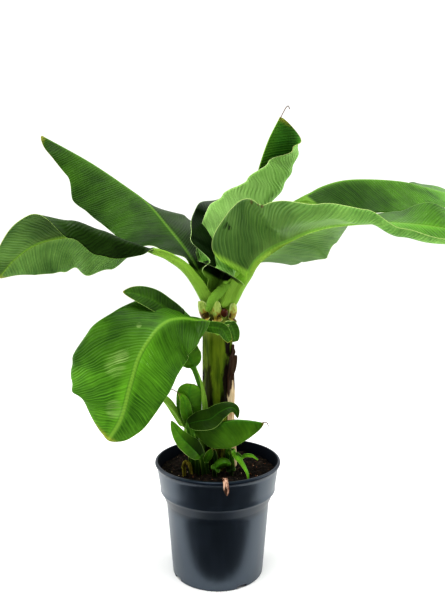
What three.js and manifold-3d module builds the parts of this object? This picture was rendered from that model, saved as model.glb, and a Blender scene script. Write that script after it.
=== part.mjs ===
import * as THREE from 'three';
import { mergeVertices } from 'three/addons/utils/BufferGeometryUtils.js';
import Module from 'manifold-3d';

// A young banana plant in a nursery pot.
// Millimetres, +Z up. The origin is the middle of the pot's flat underside.
// +X is the plant's right and -Y its front.

// Pot
const RIM_RADIUS = 107;
const RIM_HEIGHT = 196;
const LIP_DEPTH = 6;
const BAND_TOP_RADIUS = 103;
const BAND_FOOT_RADIUS = 98;
const BAND_FOOT_HEIGHT = 146;
const BODY_TOP_RADIUS = 88;
const BODY_TOP_HEIGHT = 126;
const FOOT_RADIUS = 77.5;
const FOOT_ROUNDING = 3;
const WALL = 2.4;
const FLOOR = 3;
const POT_SIDES = 40;
const DRAIN_COUNT = 4;
const DRAIN_WIDTH = 18;
const DRAIN_HEIGHT = 7;
const DRAIN_DEPTH = 9;
const FIRST_DRAIN_TURN = -59;
const DRAIN_REACH = 3;
const DRAIN_RISE = 4.6;

// Soil
const SOIL_HEIGHT = 181;
const SOIL_EDGE_DROP = 4;
const SOIL_FLAT_RADIUS = 62;

// Clear gap between pieces that touch
const GAP = 0.3;

// Main stem, a column of rolled leaf sheaths
const STEM_TOP = 456;
const STEM_SIDES = 16;
const STEM_ROWS = 10;
const STEM_FOOT_RADIUS = 28;
const STEM_WAIST_RADIUS = 23.5;
const STEM_WAIST_HEIGHT = 350;
const STEM_HEAD_RADIUS = 26;
const STEM_LEAN = -0.5;

// A blade is this many times as long as it is thick, at the most
const SLENDER = 95;
const LEAST_THICKNESS = 2;

const degrees = THREE.MathUtils.degToRad;
const wasm = await Module();
wasm.setup();

const MATERIALS = {
  pot: { color: 0x23282e, roughness: 0.45, metalness: 0 },
  soil: { color: 0x2b2019, roughness: 1, metalness: 0 },
  stem: { color: 0x6f8a3a, roughness: 0.6, metalness: 0 },
  leaf: { color: 0x2f7a2c, roughness: 0.5, metalness: 0 },
  young: { color: 0x7cb342, roughness: 0.5, metalness: 0 },
  dry: { color: 0x8a6a4a, roughness: 0.9, metalness: 0 },
};

// A smooth step from 0 to 1
function smooth(x) {
  const t = THREE.MathUtils.clamp(x, 0, 1);
  return t * t * (3 - 2 * t);
}

// The value at t in a list of values spaced evenly from 0 to 1, eased from each to the next
function along(values, t) {
  if (values.length === 1) return values[0];
  const place = THREE.MathUtils.clamp(t, 0, 1) * (values.length - 1);
  const index = Math.min(Math.floor(place), values.length - 2);
  return THREE.MathUtils.lerp(values[index], values[index + 1], smooth(place - index));
}

// A closed solid from a geometry whose faces share their corners
function solid(geometry) {
  const bare = geometry.clone();
  bare.deleteAttribute('normal');
  bare.deleteAttribute('uv');
  const merged = mergeVertices(bare, 1e-3);
  return new wasm.Manifold(new wasm.Mesh({
    numProp: 3,
    vertProperties: new Float32Array(merged.attributes.position.array),
    triVerts: new Uint32Array(merged.index.array),
  }));
}

// The largest piece of a solid, which drops scraps that a cut leaves loose
function largest(body) {
  const pieces = body.decompose();
  pieces.sort((a, b) => b.volume() - a.volume());
  return pieces[0];
}

function meshOf(body, name, look) {
  const data = body.getMesh();
  const geometry = new THREE.BufferGeometry();
  geometry.setAttribute('position', new THREE.BufferAttribute(new Float32Array(data.vertProperties), 3));
  geometry.setIndex(new THREE.BufferAttribute(new Uint32Array(data.triVerts), 1));
  geometry.computeVertexNormals();
  const mesh = new THREE.Mesh(geometry, new THREE.MeshStandardMaterial(MATERIALS[look]));
  mesh.name = name;
  return mesh;
}

// Turns a profile of [radius, height] points about the upright axis
function turned(profile, sides) {
  const points = profile.map(([radius, height]) => new THREE.Vector2(radius, height));
  const geometry = new THREE.LatheGeometry(points, sides);
  geometry.rotateX(Math.PI / 2);
  return solid(geometry);
}

function outerRadius(height) {
  const share = height / BODY_TOP_HEIGHT;
  return THREE.MathUtils.lerp(FOOT_RADIUS, BODY_TOP_RADIUS, share);
}

function innerRadius(height) {
  if (height <= BODY_TOP_HEIGHT) return outerRadius(height) - WALL;
  const share = (height - BODY_TOP_HEIGHT) / (RIM_HEIGHT - BODY_TOP_HEIGHT);
  return THREE.MathUtils.lerp(BODY_TOP_RADIUS, BAND_TOP_RADIUS, Math.sqrt(share)) - WALL;
}

// Pot with a flat underside, a stepped band under its lip and drain notches round the foot
function pot() {
  const body = turned([
    [0, 0],
    [FOOT_RADIUS - FOOT_ROUNDING, 0],
    [FOOT_RADIUS - 1, FOOT_ROUNDING - 2],
    [outerRadius(FOOT_ROUNDING + 4), FOOT_ROUNDING + 4],
    [BODY_TOP_RADIUS, BODY_TOP_HEIGHT],
    [BAND_FOOT_RADIUS - 3, BAND_FOOT_HEIGHT - 4],
    [BAND_FOOT_RADIUS - 1.5, BAND_FOOT_HEIGHT - 0.5],
    [BAND_FOOT_RADIUS, BAND_FOOT_HEIGHT + 1],
    [BAND_TOP_RADIUS, RIM_HEIGHT - LIP_DEPTH - 7],
    [RIM_RADIUS, RIM_HEIGHT - LIP_DEPTH],
    [RIM_RADIUS, RIM_HEIGHT - 1.5],
    [RIM_RADIUS - 1.5, RIM_HEIGHT],
    [BAND_TOP_RADIUS - WALL, RIM_HEIGHT],
    [innerRadius(160), 160],
    [innerRadius(BODY_TOP_HEIGHT), BODY_TOP_HEIGHT],
    [innerRadius(FLOOR), FLOOR],
    [0, FLOOR],
  ], POT_SIDES);
  let cut = body;
  for (let i = 0; i < DRAIN_COUNT; i += 1) {
    const notch = new THREE.BoxGeometry(DRAIN_DEPTH * 2, DRAIN_WIDTH, DRAIN_HEIGHT * 2);
    notch.translate(FOOT_RADIUS + DRAIN_REACH, 0, DRAIN_RISE - DRAIN_HEIGHT);
    notch.rotateZ(degrees(FIRST_DRAIN_TURN + (360 / DRAIN_COUNT) * i));
    cut = cut.subtract(solid(notch));
  }
  return cut;
}

// Potting soil, clear of the pot's inside and a little lower where it meets the wall,
// raised by extra where it cuts the foot of a stalk
function soil(extra = 0) {
  const edge = SOIL_HEIGHT - SOIL_EDGE_DROP;
  return turned([
    [0, FLOOR + GAP],
    [innerRadius(FLOOR) - GAP * 2, FLOOR + GAP],
    [innerRadius(BODY_TOP_HEIGHT) - GAP * 2, BODY_TOP_HEIGHT],
    [innerRadius(160) - GAP * 4, 160],
    [innerRadius(edge) - GAP * 4, edge + extra],
    [SOIL_FLAT_RADIUS, SOIL_HEIGHT + extra],
    [0, SOIL_HEIGHT + extra],
  ], POT_SIDES);
}

// The stem's radius: a flared foot, a waist and a wider head where the sheaths part
function stemRadius(height) {
  if (height < STEM_WAIST_HEIGHT) {
    const rise = (height - SOIL_HEIGHT) / (STEM_WAIST_HEIGHT - SOIL_HEIGHT);
    return STEM_WAIST_RADIUS + (STEM_FOOT_RADIUS - STEM_WAIST_RADIUS) * (1 - rise) ** 2.2;
  }
  const rise = (height - STEM_WAIST_HEIGHT) / (STEM_TOP - STEM_WAIST_HEIGHT);
  return STEM_WAIST_RADIUS + (STEM_HEAD_RADIUS - STEM_WAIST_RADIUS) * rise ** 2;
}

// The stem's middle, which leans a little on its way up
function stemMiddle(height) {
  const rise = (height - SOIL_HEIGHT) / (STEM_TOP - SOIL_HEIGHT);
  return STEM_LEAN * Math.sin(rise * Math.PI);
}

// Stem from its flat cut on the soil to its head, grown by extra where it cuts its neighbours
function stem(extra = 0) {
  const geometry = new THREE.CylinderGeometry(1, 1, 1, STEM_SIDES, STEM_ROWS);
  geometry.rotateX(Math.PI / 2);
  const places = geometry.attributes.position;
  for (let i = 0; i < places.count; i += 1) {
    const share = places.getZ(i) + 0.5;
    const height = THREE.MathUtils.lerp(SOIL_HEIGHT + GAP, STEM_TOP, share);
    const radius = stemRadius(height) + extra;
    const x = stemMiddle(height);
    const lift = share > 0.99 ? extra : 0;
    places.setXYZ(i, x + places.getX(i) * radius, places.getY(i) * radius, height + lift);
  }
  return solid(geometry);
}

// A leaf runs along one smooth path: its stalk, then the midrib of its blade.
// Seen from above with the tip pointing away, each half of the blade leaves the midrib
// at its lift above the level and bends by its curl on the way to the margin.
const LEAF = {
  stalkHalf: [9],
  stalkLift: [10, 55, 55],
  stalkCurl: [85, 10, 0],
  ribHalf: 5,
  ribDepth: 5,
  wide: 80,
  widest: 0.42,
  tipFall: 2.2,
  footFall: 2,
  footRise: 0.5,
  outline: [1],
  stalkRows: 5,
  rows: 14,
  columns: 10,
  foldAt: [0.5],
  foldWidth: 1,
  ripple: [0, 1, 0],
  ends: [0.1, 0.05],
  opening: 12,
};

// Small leaves of the suckers, with a slim stalk and fewer faces
const SMALL = {
  stalkHalf: [4],
  stalkLift: [40],
  stalkCurl: [0],
  ribHalf: 1.5,
  ribDepth: 1.5,
  stalkRows: 3,
  rows: 7,
  columns: 6,
  right: { lift: [10], curl: [0] },
  left: { lift: [10], curl: [0] },
};

// Straps of sheath that lie round a stem
const STRAP = {
  ...SMALL,
  stalkRows: 1,
  rows: 4,
  ends: [0.8, 0.4],
  right: { lift: [-15], curl: [-35] },
  left: { lift: [-15], curl: [-35] },
};

// Half-width of the blade at t from its foot to its tip
function bladeHalf(leaf, half, whole) {
  const wide = (half.wide ?? leaf.wide) * along(half.outline ?? LEAF.outline, whole);
  const from = half.from ?? 0;
  if (whole < from) return 0;
  const t = (whole - from) / (1 - from);
  const widest = half.widest ?? leaf.widest;
  if (t < widest) {
    const back = 1 - t / widest;
    const round = Math.max(0, 1 - back ** leaf.footFall) ** (half.footRise ?? LEAF.footRise);
    return wide * THREE.MathUtils.lerp(leaf.ends[0], 1, round);
  }
  const out = (t - widest) / (1 - widest);
  const tipFall = half.tipFall ?? leaf.tipFall;
  return wide * THREE.MathUtils.lerp(leaf.ends[1], 1, (1 - out ** tipFall) ** 0.8);
}

// Angle of a half of the blade at a share of its width
function slope(half, t, share) {
  const foldAt = along(half.foldAt ?? LEAF.foldAt, t);
  const foldWidth = half.foldWidth ?? LEAF.foldWidth;
  const bend = THREE.MathUtils.clamp((share - foldAt) / foldWidth + 0.5, 0, 1);
  return degrees(along(half.lift, t) + along(half.curl, t) * bend);
}

// Place on a half of the blade, as [sideways, upward], and the angle there
function acrossBlade(half, t, distance, width) {
  const steps = 12;
  let side = 0;
  let up = 0;
  for (let i = 0; i < steps; i += 1) {
    const angle = slope(half, t, ((i + 0.5) / steps) * (distance / width));
    side += (Math.cos(angle) * distance) / steps;
    up += (Math.sin(angle) * distance) / steps;
  }
  return [side, up, slope(half, t, distance / width)];
}

// The leaf's path, with the share of its length at which the blade starts
function leafPath(leaf) {
  const points = [...leaf.stalk, ...leaf.rib].map((point) => new THREE.Vector3(...point));
  const curve = new THREE.CatmullRomCurve3(points, false, 'catmullrom', 0.5);
  const divisions = 20 * (points.length - 1);
  curve.arcLengthDivisions = divisions;
  const lengths = curve.getLengths(divisions);
  const foot = lengths[20 * leaf.stalk.length] / lengths[divisions];
  return { curve, foot, length: lengths[divisions] };
}

// Builds one leaf as a closed solid by bending a box, grown by extra where it cuts a neighbour
function leafSolid(spec, extra = 0) {
  const leaf = { ...LEAF, ...spec };
  const { curve, foot, length } = leafPath(leaf);
  const blade = length * (1 - foot);
  const thickness = Math.max(LEAST_THICKNESS, blade / SLENDER) + extra * 2;
  const rows = leaf.stalkRows + leaf.rows;
  const geometry = new THREE.BoxGeometry(1, 1, 1, leaf.columns, rows, 1);
  const places = geometry.attributes.position;
  const middle = leaf.columns / 2;
  const faceFoot = new THREE.Vector3(...leaf.faceFoot);
  const faceTip = new THREE.Vector3(...leaf.faceTip);
  const faceStalk = new THREE.Vector3(...(leaf.faceStalk ?? leaf.faceFoot));
  for (let i = 0; i < places.count; i += 1) {
    const row = Math.round((places.getY(i) + 0.5) * rows);
    const column = Math.round((places.getX(i) + 0.5) * leaf.columns) - middle;
    const top = places.getZ(i) > 0;
    const onBlade = (row - leaf.stalkRows) / leaf.rows;
    const onStalk = row / leaf.stalkRows;
    const t = Math.max(0, onBlade) ** 1.25;
    const share = onBlade > 0 ? foot + (1 - foot) * t : foot * onStalk;
    const middlePoint = curve.getPointAt(share);
    const tangent = curve.getTangentAt(share);
    const face = faceFoot.clone().lerp(faceTip, smooth(share));
    if (onStalk < 1) face.lerp(faceStalk, 1 - smooth(onStalk));
    const right = new THREE.Vector3().crossVectors(tangent, face).normalize();
    const normal = new THREE.Vector3().crossVectors(right, tangent).normalize();
    const half = bladeSide(leaf, column > 0 ? leaf.right : leaf.left, t, onStalk);
    const bladeWidth = onBlade > 0 ? bladeHalf(leaf, half, t) : 0;
    const stalkWidth = along(leaf.stalkHalf, onStalk) * (1 - 0.8 * smooth((t - 0.5) * 2));
    const width = Math.max(stalkWidth, bladeWidth) + extra;
    const steps = Math.abs(column);
    const ribHalf = Math.min(leaf.ribHalf, width / 3);
    const distance = steps === 0 ? 0 : ribHalf + ((width - ribHalf) * (steps - 1)) / (middle - 1);
    const [side, up, angle] = acrossBlade(half, t, distance, width);
    const wave = leaf.ripple[0] * (distance / width) ** 2
      * Math.sin(2 * Math.PI * (leaf.ripple[1] * t + leaf.ripple[2])) * smooth(onBlade * 6);
    const rib = steps === 0 ? leaf.ribDepth * (1 - 0.7 * share) : 0;
    const offset = (top ? thickness / 2 : -thickness / 2 - rib) + wave;
    const sign = column >= 0 ? 1 : -1;
    const bent = steps === 0 ? 0 : angle;
    const place = middlePoint.clone()
      .addScaledVector(right, sign * (side - Math.sin(bent) * offset))
      .addScaledVector(normal, up + Math.cos(bent) * offset);
    places.setXYZ(i, place.x, place.y, place.z);
  }
  return solid(geometry);
}

// A half of the blade, eased into the folded channel of the stalk below its foot
function bladeSide(leaf, half, t, onStalk) {
  const blend = smooth(t * leaf.opening);
  const lift = along(leaf.stalkLift, onStalk);
  const curl = along(leaf.stalkCurl, onStalk);
  return {
    ...half,
    lift: half.lift.map((angle) => THREE.MathUtils.lerp(lift, angle, blend)),
    curl: half.curl.map((angle) => THREE.MathUtils.lerp(curl, angle, blend)),
  };
}

const LEAVES = [
  {
    name: 'leaf_left',
    look: 'leaf',
    stalk: [[-15, -6, 457], [-20, -8, 468], [-35, -15, 498], [-51, -20, 521], [-71, -25, 538]],
    rib: [[-98, -30, 552], [-170, -40, 570], [-230, -50, 577], [-280, -58, 566], [-316, -62, 542], [-342, -66, 512]],
    faceStalk: [1, 0.3, 0.5],
    stalkLift: [10, 55, 20],
    faceFoot: [-0.4, 0, 1],
    stalkHalf: [26, 14, 10, 9, 9],
    faceTip: [-0.9, -0.1, 0.6],
    wide: 80,
    right: { lift: [-15, -15, -38, -48, -36, -44, -55, -50, -30], curl: [-5], footRise: 0.9 },
    left: {
      wide: 72,
      footRise: 1.4,
      lift: [20, 26, 38, 45, 42, 38, 38],
      curl: [-110, -125, -130, -125, -30, -15, -10],
      foldAt: [0.35, 0.35, 0.4, 0.55, 0.8, 0.8, 0.8],
      foldWidth: 0.4,
    },
  },
  {
    name: 'leaf_back_left',
    look: 'leaf',
    stalk: [[-6, 11, 457], [-12, 14, 478]],
    rib: [[-29, 22, 508], [-55, 42, 551], [-90, 72, 594], [-125, 95, 633], [-160, 115, 659], [-236, 140, 709], [-329, 160, 760]],
    faceFoot: [0.2, -0.9, 0.4],
    stalkHalf: [20, 13],
    faceTip: [-0.1, -0.85, 0.5],
    wide: 84,
    left: {
      lift: [85, 45, 12, 0, -3, -5, -5, -5, -5],
      curl: [-8],
      outline: [1, 1, 1, 1, 1, 1, 1.02, 1.1, 0.76, 0.74, 0.9],
    },
    right: { lift: [40, -20, -45, -85, -120, -120, -110], curl: [0] },
  },
  {
    name: 'leaf_centre',
    look: 'young',
    stalk: [[0, 4, 457], [0, 6, 478]],
    rib: [[2, 8, 497], [16, 16, 532], [35, 24, 578], [51, 26, 616], [62, 24, 657], [70, 20, 692],
      [84, 12, 733], [102, 5, 769]],
    faceFoot: [0, -1, 0.1],
    stalkHalf: [18, 22],
    stalkLift: [10, 30],
    stalkCurl: [85, 10],
    faceTip: [0.3, -0.9, 0.1],
    right: {
      wide: 128,
      lift: [0],
      curl: [230, 215, 200, 192, 190, 188, 182, 140, 20],
      foldAt: [0.3, 0.25, 0.25, 0.25, 0.3, 0.42, 0.52, 0.62, 0.6],
      tipFall: 4.5,
      foldWidth: 0.4,
    },
    left: { wide: 84, lift: [40, 10, -10, -60, -110, -125, -125], curl: [100, 40, 10, 0, 0, 0, 0] },
    widest: 0.25,
    footFall: 3,
    tipFall: 2.6,
  },
  {
    name: 'leaf_right_front',
    look: 'leaf',
    stalk: [[15, -8, 457], [25, -13, 466], [38, -22, 493]],
    rib: [[49, -30, 512], [64, -40, 536], [86, -55, 555], [107, -65, 569], [134, -80, 583], [162, -90, 592],
      [192, -97, 596], [236, -105, 598], [287, -115, 595], [337, -122, 588], [386, -128, 574], [424, -130, 557]],
    faceStalk: [-1, 0.5, 0.4],
    faceFoot: [-0.6, 0.3, 0.8],
    stalkHalf: [27, 24, 13],
    faceTip: [0.3, 0, 1],
    wide: 92,
    widest: 0.16,
    footFall: 3,
    right: {
      lift: [85, 78, 14, 0, -8, -28, -38, -32, -20],
      curl: [0, 0, 75, 90, 108, 115, 118, 90, 40],
      foldAt: [0.5, 0.5, 0.62, 0.8, 0.84, 0.84, 0.84, 0.84, 0.84],
      foldWidth: 0.35,
    },
    left: { wide: 88, lift: [-10, -18, -28, -12, 15, 20, 45, 30, 10], curl: [0] },
    ends: [0.35, 0.05],
    joined: [
      {
        stalk: [[26, -22, 507]],
        rib: [[17, -25, 500], [3, -28, 486], [-11, -29, 469], [-17, -27, 453]],
        faceFoot: [0, -1, 0.1],
        faceTip: [-0.2, -1, 0],
        ...STRAP,
        wide: 9,
        ends: [0.6, 0.6],
      },
    ],
  },
  {
    name: 'leaf_back_right',
    look: 'leaf',
    stalk: [[7, 12, 457], [20, 18, 490], [75, 60, 590], [120, 80, 625]],
    rib: [[150, 92, 642], [188, 110, 664], [243, 125, 677], [333, 140, 675], [394, 145, 661],
      [471, 150, 637], [529, 150, 607]],
    faceStalk: [-0.8, -0.7, 0.3],
    stalkLift: [10, 55, 0, -40],
    faceFoot: [-0.5, -0.2, 0.9],
    stalkHalf: [20, 12, 9, 8],
    faceTip: [0.3, 0, 1],
    wide: 84,
    right: { lift: [-40, -50, -40, -25, -20], curl: [0] },
    left: { lift: [-40, -50, -40, -40, -20, 10, 15, 15, 10], curl: [0] },
  },
  {
    name: 'leaf_low',
    look: 'leaf',
    stalk: [[4, -25, 420], [-10, -34, 430]],
    stalkHalf: [7, 7],
    stalkLift: [10, 40],
    stalkCurl: [0],
    rib: [[-25, -47, 438], [-43, -62, 447], [-62, -80, 450], [-78, -95, 447], [-95, -110, 433], [-116, -125, 400],
      [-128, -135, 360], [-142, -140, 309], [-162, -140, 275]],
    faceFoot: [0.2, -0.3, 0.9],
    faceTip: [-0.3, -0.9, 0.2],
    right: {
      wide: 100,
      widest: 0.5,
      from: 0.08,
      lift: [10, 0, 0, 0, 0],
      curl: [-5],
      outline: [0.85, 0.86, 0.86, 0.83, 0.97, 1.08, 1.17, 1.36, 1.9],
    },
    left: {
      wide: 69,
      lift: [-10, -30, -32, -30, -25],
      curl: [-10],
      outline: [1, 1, 1, 1, 1, 1, 1, 0.99, 0.99, 1.03, 1.3],
    },
    joined: [
      {
        stalk: [[-38, -54, 441]],
        rib: [[-55, -60, 449], [-80, -63, 463], [-102, -66, 477], [-125, -69, 486], [-147, -71, 490]],
        faceFoot: [0.2, -0.75, 0.6],
        faceTip: [0.2, -0.75, 0.6],
        ...SMALL,
        wide: 19,
        widest: 0.5,
        ends: [0.4, 0.05],
      },
      {
        stalk: [[-36, -50, 421]],
        rib: [[-22, -50, 431], [-7, -48, 431], [7, -44, 427], [15, -38, 415], [20, -33, 405]],
        faceFoot: [0, -1, 0.15],
        faceTip: [0.3, -1, 0.1],
        ...SMALL,
        wide: 10,
        ends: [0.6, 0.4],
      },
      {
        stalk: [[12, -40, 436]],
        rib: [[19, -36, 436], [25, -32, 425], [28, -29, 412], [29, -27, 404]],
        faceFoot: [0.35, -0.93, 0.1],
        faceTip: [0.35, -0.93, 0.1],
        ...SMALL,
        wide: 10,
        ends: [0.6, 0.4],
      },
    ],
  },
  {
    name: 'sheath_stub_left',
    look: 'stem',
    stalk: [[-15, -16, 428]],
    rib: [[-21, -20, 438], [-27, -22, 453], [-30, -22, 470]],
    faceFoot: [-0.65, -0.75, 0],
    faceTip: [-0.65, -0.75, 0],
    ...STRAP,
    wide: 13,
    tipFall: 3.5,
  },
  {
    name: 'sheath_stub_front',
    look: 'stem',
    stalk: [[1, -23, 428]],
    rib: [[0, -26.5, 438], [-2, -28, 454], [-2.5, -27, 471]],
    faceFoot: [0, -1, 0],
    faceTip: [0, -1, 0],
    ...STRAP,
    wide: 10,
    tipFall: 3.5,
  },
  {
    name: 'sheath_stub_right',
    look: 'stem',
    stalk: [[16, -16, 428]],
    rib: [[24, -19, 438], [29, -21, 452], [28, -20, 467]],
    faceFoot: [0.6, -0.8, 0],
    faceTip: [0.6, -0.8, 0],
    ...STRAP,
    wide: 10,
    tipFall: 3.5,
  },
  {
    name: 'dry_sheath',
    look: 'dry',
    stalk: [[24, -9, 396]],
    rib: [[24, -10, 388], [24.5, -11, 345], [24.5, -11.5, 302], [26, -13, 245], [29, -14, 186]],
    faceFoot: [0.85, -0.55, 0],
    faceTip: [0.85, -0.55, 0],
    ...STRAP,
    right: { lift: [-8], curl: [-14] },
    left: { lift: [-8], curl: [-14] },
    wide: 12,
    rows: 8,
    ends: [0.3, 0.9],
    tipFall: 6,
  },
  {
    name: 'dry_flap',
    look: 'dry',
    stalk: [[22, -15, 338]],
    rib: [[24, -16, 348], [27, -16, 364], [30, -15, 379]],
    faceFoot: [0.3, -1, 0],
    faceTip: [0.3, -1, 0],
    ...SMALL,
    wide: 5,
    ends: [0.5, 0.5],
  },
  {
    name: 'sucker_tall',
    look: 'leaf',
    stalk: [[-26, -22, 178], [-21, -25, 254], [-19, -27, 297], [-26, -30, 331]],
    rib: [[-38, -35, 364], [-49, -38, 388], [-57, -42, 412], [-63, -46, 436]],
    faceFoot: [-0.4, 0.3, 0.8],
    faceTip: [-0.4, -0.6, 0.6],
    ...SMALL,
    stalkHalf: [11, 9, 8, 6],
    stalkRows: 6,
    wide: 25,
  },
  {
    name: 'sucker_left',
    look: 'leaf',
    stalk: [[-37, -24, 178], [-46, -24, 243], [-57, -28, 265], [-75, -38, 297]],
    rib: [[-92, -47, 315], [-112, -52, 325], [-141, -56, 320], [-168, -58, 298]],
    faceFoot: [-0.5, 0, 0.9],
    faceTip: [-0.7, 0, 0.7],
    ...SMALL,
    stalkHalf: [8, 8, 8],
    stalkRows: 6,
    wide: 22,
    right: { lift: [-10, -20], curl: [0] },
    left: { lift: [20, -10], curl: [0] },
  },
  {
    name: 'sucker_leaf_upright',
    look: 'leaf',
    stalk: [[-33, -33, 178], [-34, -31, 235]],
    rib: [[-38, -30, 262], [-46, -30, 290], [-47, -31, 312], [-44, -33, 335]],
    faceFoot: [0.2, -1, 0],
    faceTip: [0.2, -1, 0],
    ...SMALL,
    wide: 21,
    widest: 0.55,
    tipFall: 4.5,
    ends: [0.1, 0.3],
    left: { lift: [-8], curl: [0] },
  },
  {
    name: 'sucker_leaf_curled',
    look: 'leaf',
    stalk: [[-44, -34, 178], [-46, -34, 240]],
    rib: [[-48, -34, 268], [-52, -35, 290], [-54, -36, 304], [-58, -38, 314], [-63, -40, 320]],
    faceFoot: [0.1, -1, 0.1],
    faceTip: [0.1, -0.8, 0.5],
    ...SMALL,
    wide: 10,
    widest: 0.35,
  },
  {
    name: 'sucker_leaf_dark',
    look: 'leaf',
    stalk: [[-40, -41, 178], [-42, -41, 234], [-47, -43, 256]],
    rib: [[-48, -44, 269], [-32, -48, 276], [-12, -51, 281], [4, -52, 293], [19, -52, 300], [29, -52, 297],
      [33, -52, 283]],
    faceFoot: [0, -0.9, 0.4],
    faceTip: [0, -0.8, 0.6],
    ...SMALL,
    wide: 18,
    widest: 0.38,
    tipFall: 1.15,
  },
  {
    name: 'sucker_leaf_broad',
    look: 'leaf',
    stalk: [[-32, -44, 178], [-34, -46, 226]],
    rib: [[-38, -48, 257], [-12, -54, 268], [10, -58, 277], [31, -61, 281], [52, -64, 281], [74, -68, 279]],
    faceFoot: [-0.2, -0.8, 0.7],
    faceTip: [0, -0.7, 0.7],
    ...SMALL,
    rows: 9,
    columns: 8,
    right: { wide: 42, lift: [-30], curl: [-10], footRise: 0.9 },
    left: { wide: 30, lift: [-50], curl: [-20] },
  },
  {
    name: 'sucker_leaf_outer',
    look: 'leaf',
    stalk: [[-23, -43, 178], [-26, -50, 205]],
    rib: [[-29, -56, 220], [-41, -59, 235], [-55, -60, 250], [-66, -60, 266], [-74, -61, 281]],
    faceFoot: [0.4, -0.8, 0.5],
    faceTip: [0.4, -0.8, 0.5],
    ...SMALL,
    wide: 17,
    widest: 0.35,
    ends: [0.35, 0.05],
    right: { lift: [10], curl: [0], outline: [1, 1, 0.75, 0.6, 0.6] },
  },
  {
    name: 'sucker_leaf_small',
    look: 'leaf',
    stalk: [[-15, -41, 178], [-18, -43, 194]],
    rib: [[-19, -45, 206], [-15, -49, 219], [-9, -52, 232]],
    faceFoot: [0.3, -0.8, 0.5],
    faceTip: [0.3, -0.8, 0.5],
    ...SMALL,
    rows: 6,
    wide: 7,
  },
  {
    name: 'sucker_stub',
    look: 'leaf',
    stalk: [[-4, -38, 178]],
    rib: [[-5, -38, 195], [-6, -39, 210], [-7, -41, 226]],
    faceFoot: [0, -1, 0],
    faceTip: [0, -1, 0],
    ...STRAP,
    wide: 7,
    ends: [0.9, 0.4],
  },
  {
    name: 'sucker_bud',
    look: 'leaf',
    stalk: [[-3, -48, 178], [-5, -52, 190]],
    rib: [[-4, -56, 198], [3, -59, 207], [12, -60, 211], [22, -59, 207]],
    faceFoot: [0, -1, 0.3],
    faceTip: [0, -1, 0.3],
    ...SMALL,
    wide: 12,
    widest: 0.5,
    ends: [0.5, 0.2],
    right: { lift: [-25], curl: [-40] },
    left: { lift: [-25], curl: [-40] },
  },
  {
    name: 'sucker_right',
    look: 'leaf',
    stalk: [[22, -40, 178]],
    rib: [[22, -40, 190], [20, -42, 212], [18, -45, 233]],
    faceFoot: [0, -1, 0],
    faceTip: [0, -1, 0],
    ...STRAP,
    wide: 9,
    joined: [
      {
        stalk: [[19, -45, 222]],
        rib: [[24, -51, 228], [34, -57, 221], [43, -64, 210], [49, -72, 198], [50, -76, 188]],
        faceFoot: [0.6, -0.6, 0.5],
        faceTip: [0.8, -0.6, 0.2],
        ...STRAP,
        rows: 7,
        wide: 8,
        widest: 0.28,
        tipFall: 1,
        ends: [0.4, 0.25],
      },
      {
        stalk: [[30, -54, 224]],
        rib: [[38, -54, 218], [45, -54, 222], [56, -55, 222], [66, -58, 215]],
        faceFoot: [0, -0.8, 0.6],
        faceTip: [0.5, -0.6, 0.5],
        ...STRAP,
        rows: 7,
        wide: 3,
      },
    ],
  },
  {
    name: 'dry_curl',
    look: 'dry',
    stalk: [[-55, -42, 178]],
    rib: [[-56, -43, 194], [-52, -45, 206], [-45, -48, 203], [-41, -52, 188]],
    faceFoot: [0.5, -0.8, 0.5],
    faceTip: [0.5, -0.8, 0.5],
    ...STRAP,
    wide: 4,
  },
  {
    name: 'dry_scrap',
    look: 'dry',
    stalk: [[12, -88, 178]],
    rib: [[12, -95, 195], [12, -101, 199.5], [12.5, -108.5, 198], [13.5, -109.5, 188], [15, -109, 176]],
    faceFoot: [0, -1, 0.4],
    faceTip: [0, -1, 0.2],
    ...STRAP,
    rows: 7,
    wide: 5,
    widest: 0.7,
    ends: [0.5, 0.1],
  },
];

// A leaf or strap with the pieces that grow from it fused on
function wholeLeaf(spec, extra = 0) {
  let body = leafSolid(spec, extra);
  for (const piece of spec.joined ?? []) body = body.add(leafSolid(piece, extra));
  return body;
}

const plant = new THREE.Group();
plant.add(meshOf(pot(), 'pot', 'pot'));
plant.add(meshOf(soil(), 'soil', 'soil'));
plant.add(meshOf(stem(), 'pseudostem', 'stem'));
const cutters = [pot(), soil(GAP), stem(GAP)];
for (const leaf of LEAVES) {
  let body = wholeLeaf(leaf);
  for (const cutter of cutters) body = body.subtract(cutter);
  plant.add(meshOf(largest(body), leaf.name, leaf.look));
  cutters.push(wholeLeaf(leaf, GAP));
}

export default plant;
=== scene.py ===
"""A young banana plant in a nursery pot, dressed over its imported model.

Sizes of the plant and the pot are in millimetres and become metres in the meshes.
+X is the plant's right, -Y its front and +Z up; the origin is the middle of the pot's underside.
"""

import logging
import math
from dataclasses import dataclass, field, replace
from enum import Enum
from typing import Sequence

import bpy
import numpy as np
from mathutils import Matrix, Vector


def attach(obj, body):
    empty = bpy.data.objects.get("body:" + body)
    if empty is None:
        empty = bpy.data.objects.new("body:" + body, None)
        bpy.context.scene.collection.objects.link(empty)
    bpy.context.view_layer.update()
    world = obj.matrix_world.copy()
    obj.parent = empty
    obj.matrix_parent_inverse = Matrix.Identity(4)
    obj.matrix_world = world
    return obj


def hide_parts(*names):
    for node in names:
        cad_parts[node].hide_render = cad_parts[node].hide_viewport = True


Numbers = tuple[float, ...]
Place = tuple[float, float, float]
Colour = tuple[float, float, float]

MM = 0.001
VEIN_UNIT = 100.0
EDGE_UNIT = 10.0
STEPS_A_SPAN = 20
WAVE_COUNT = 6
SLOWEST_WAVE = 0.6
log = logging.getLogger("banana_plant")

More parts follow.
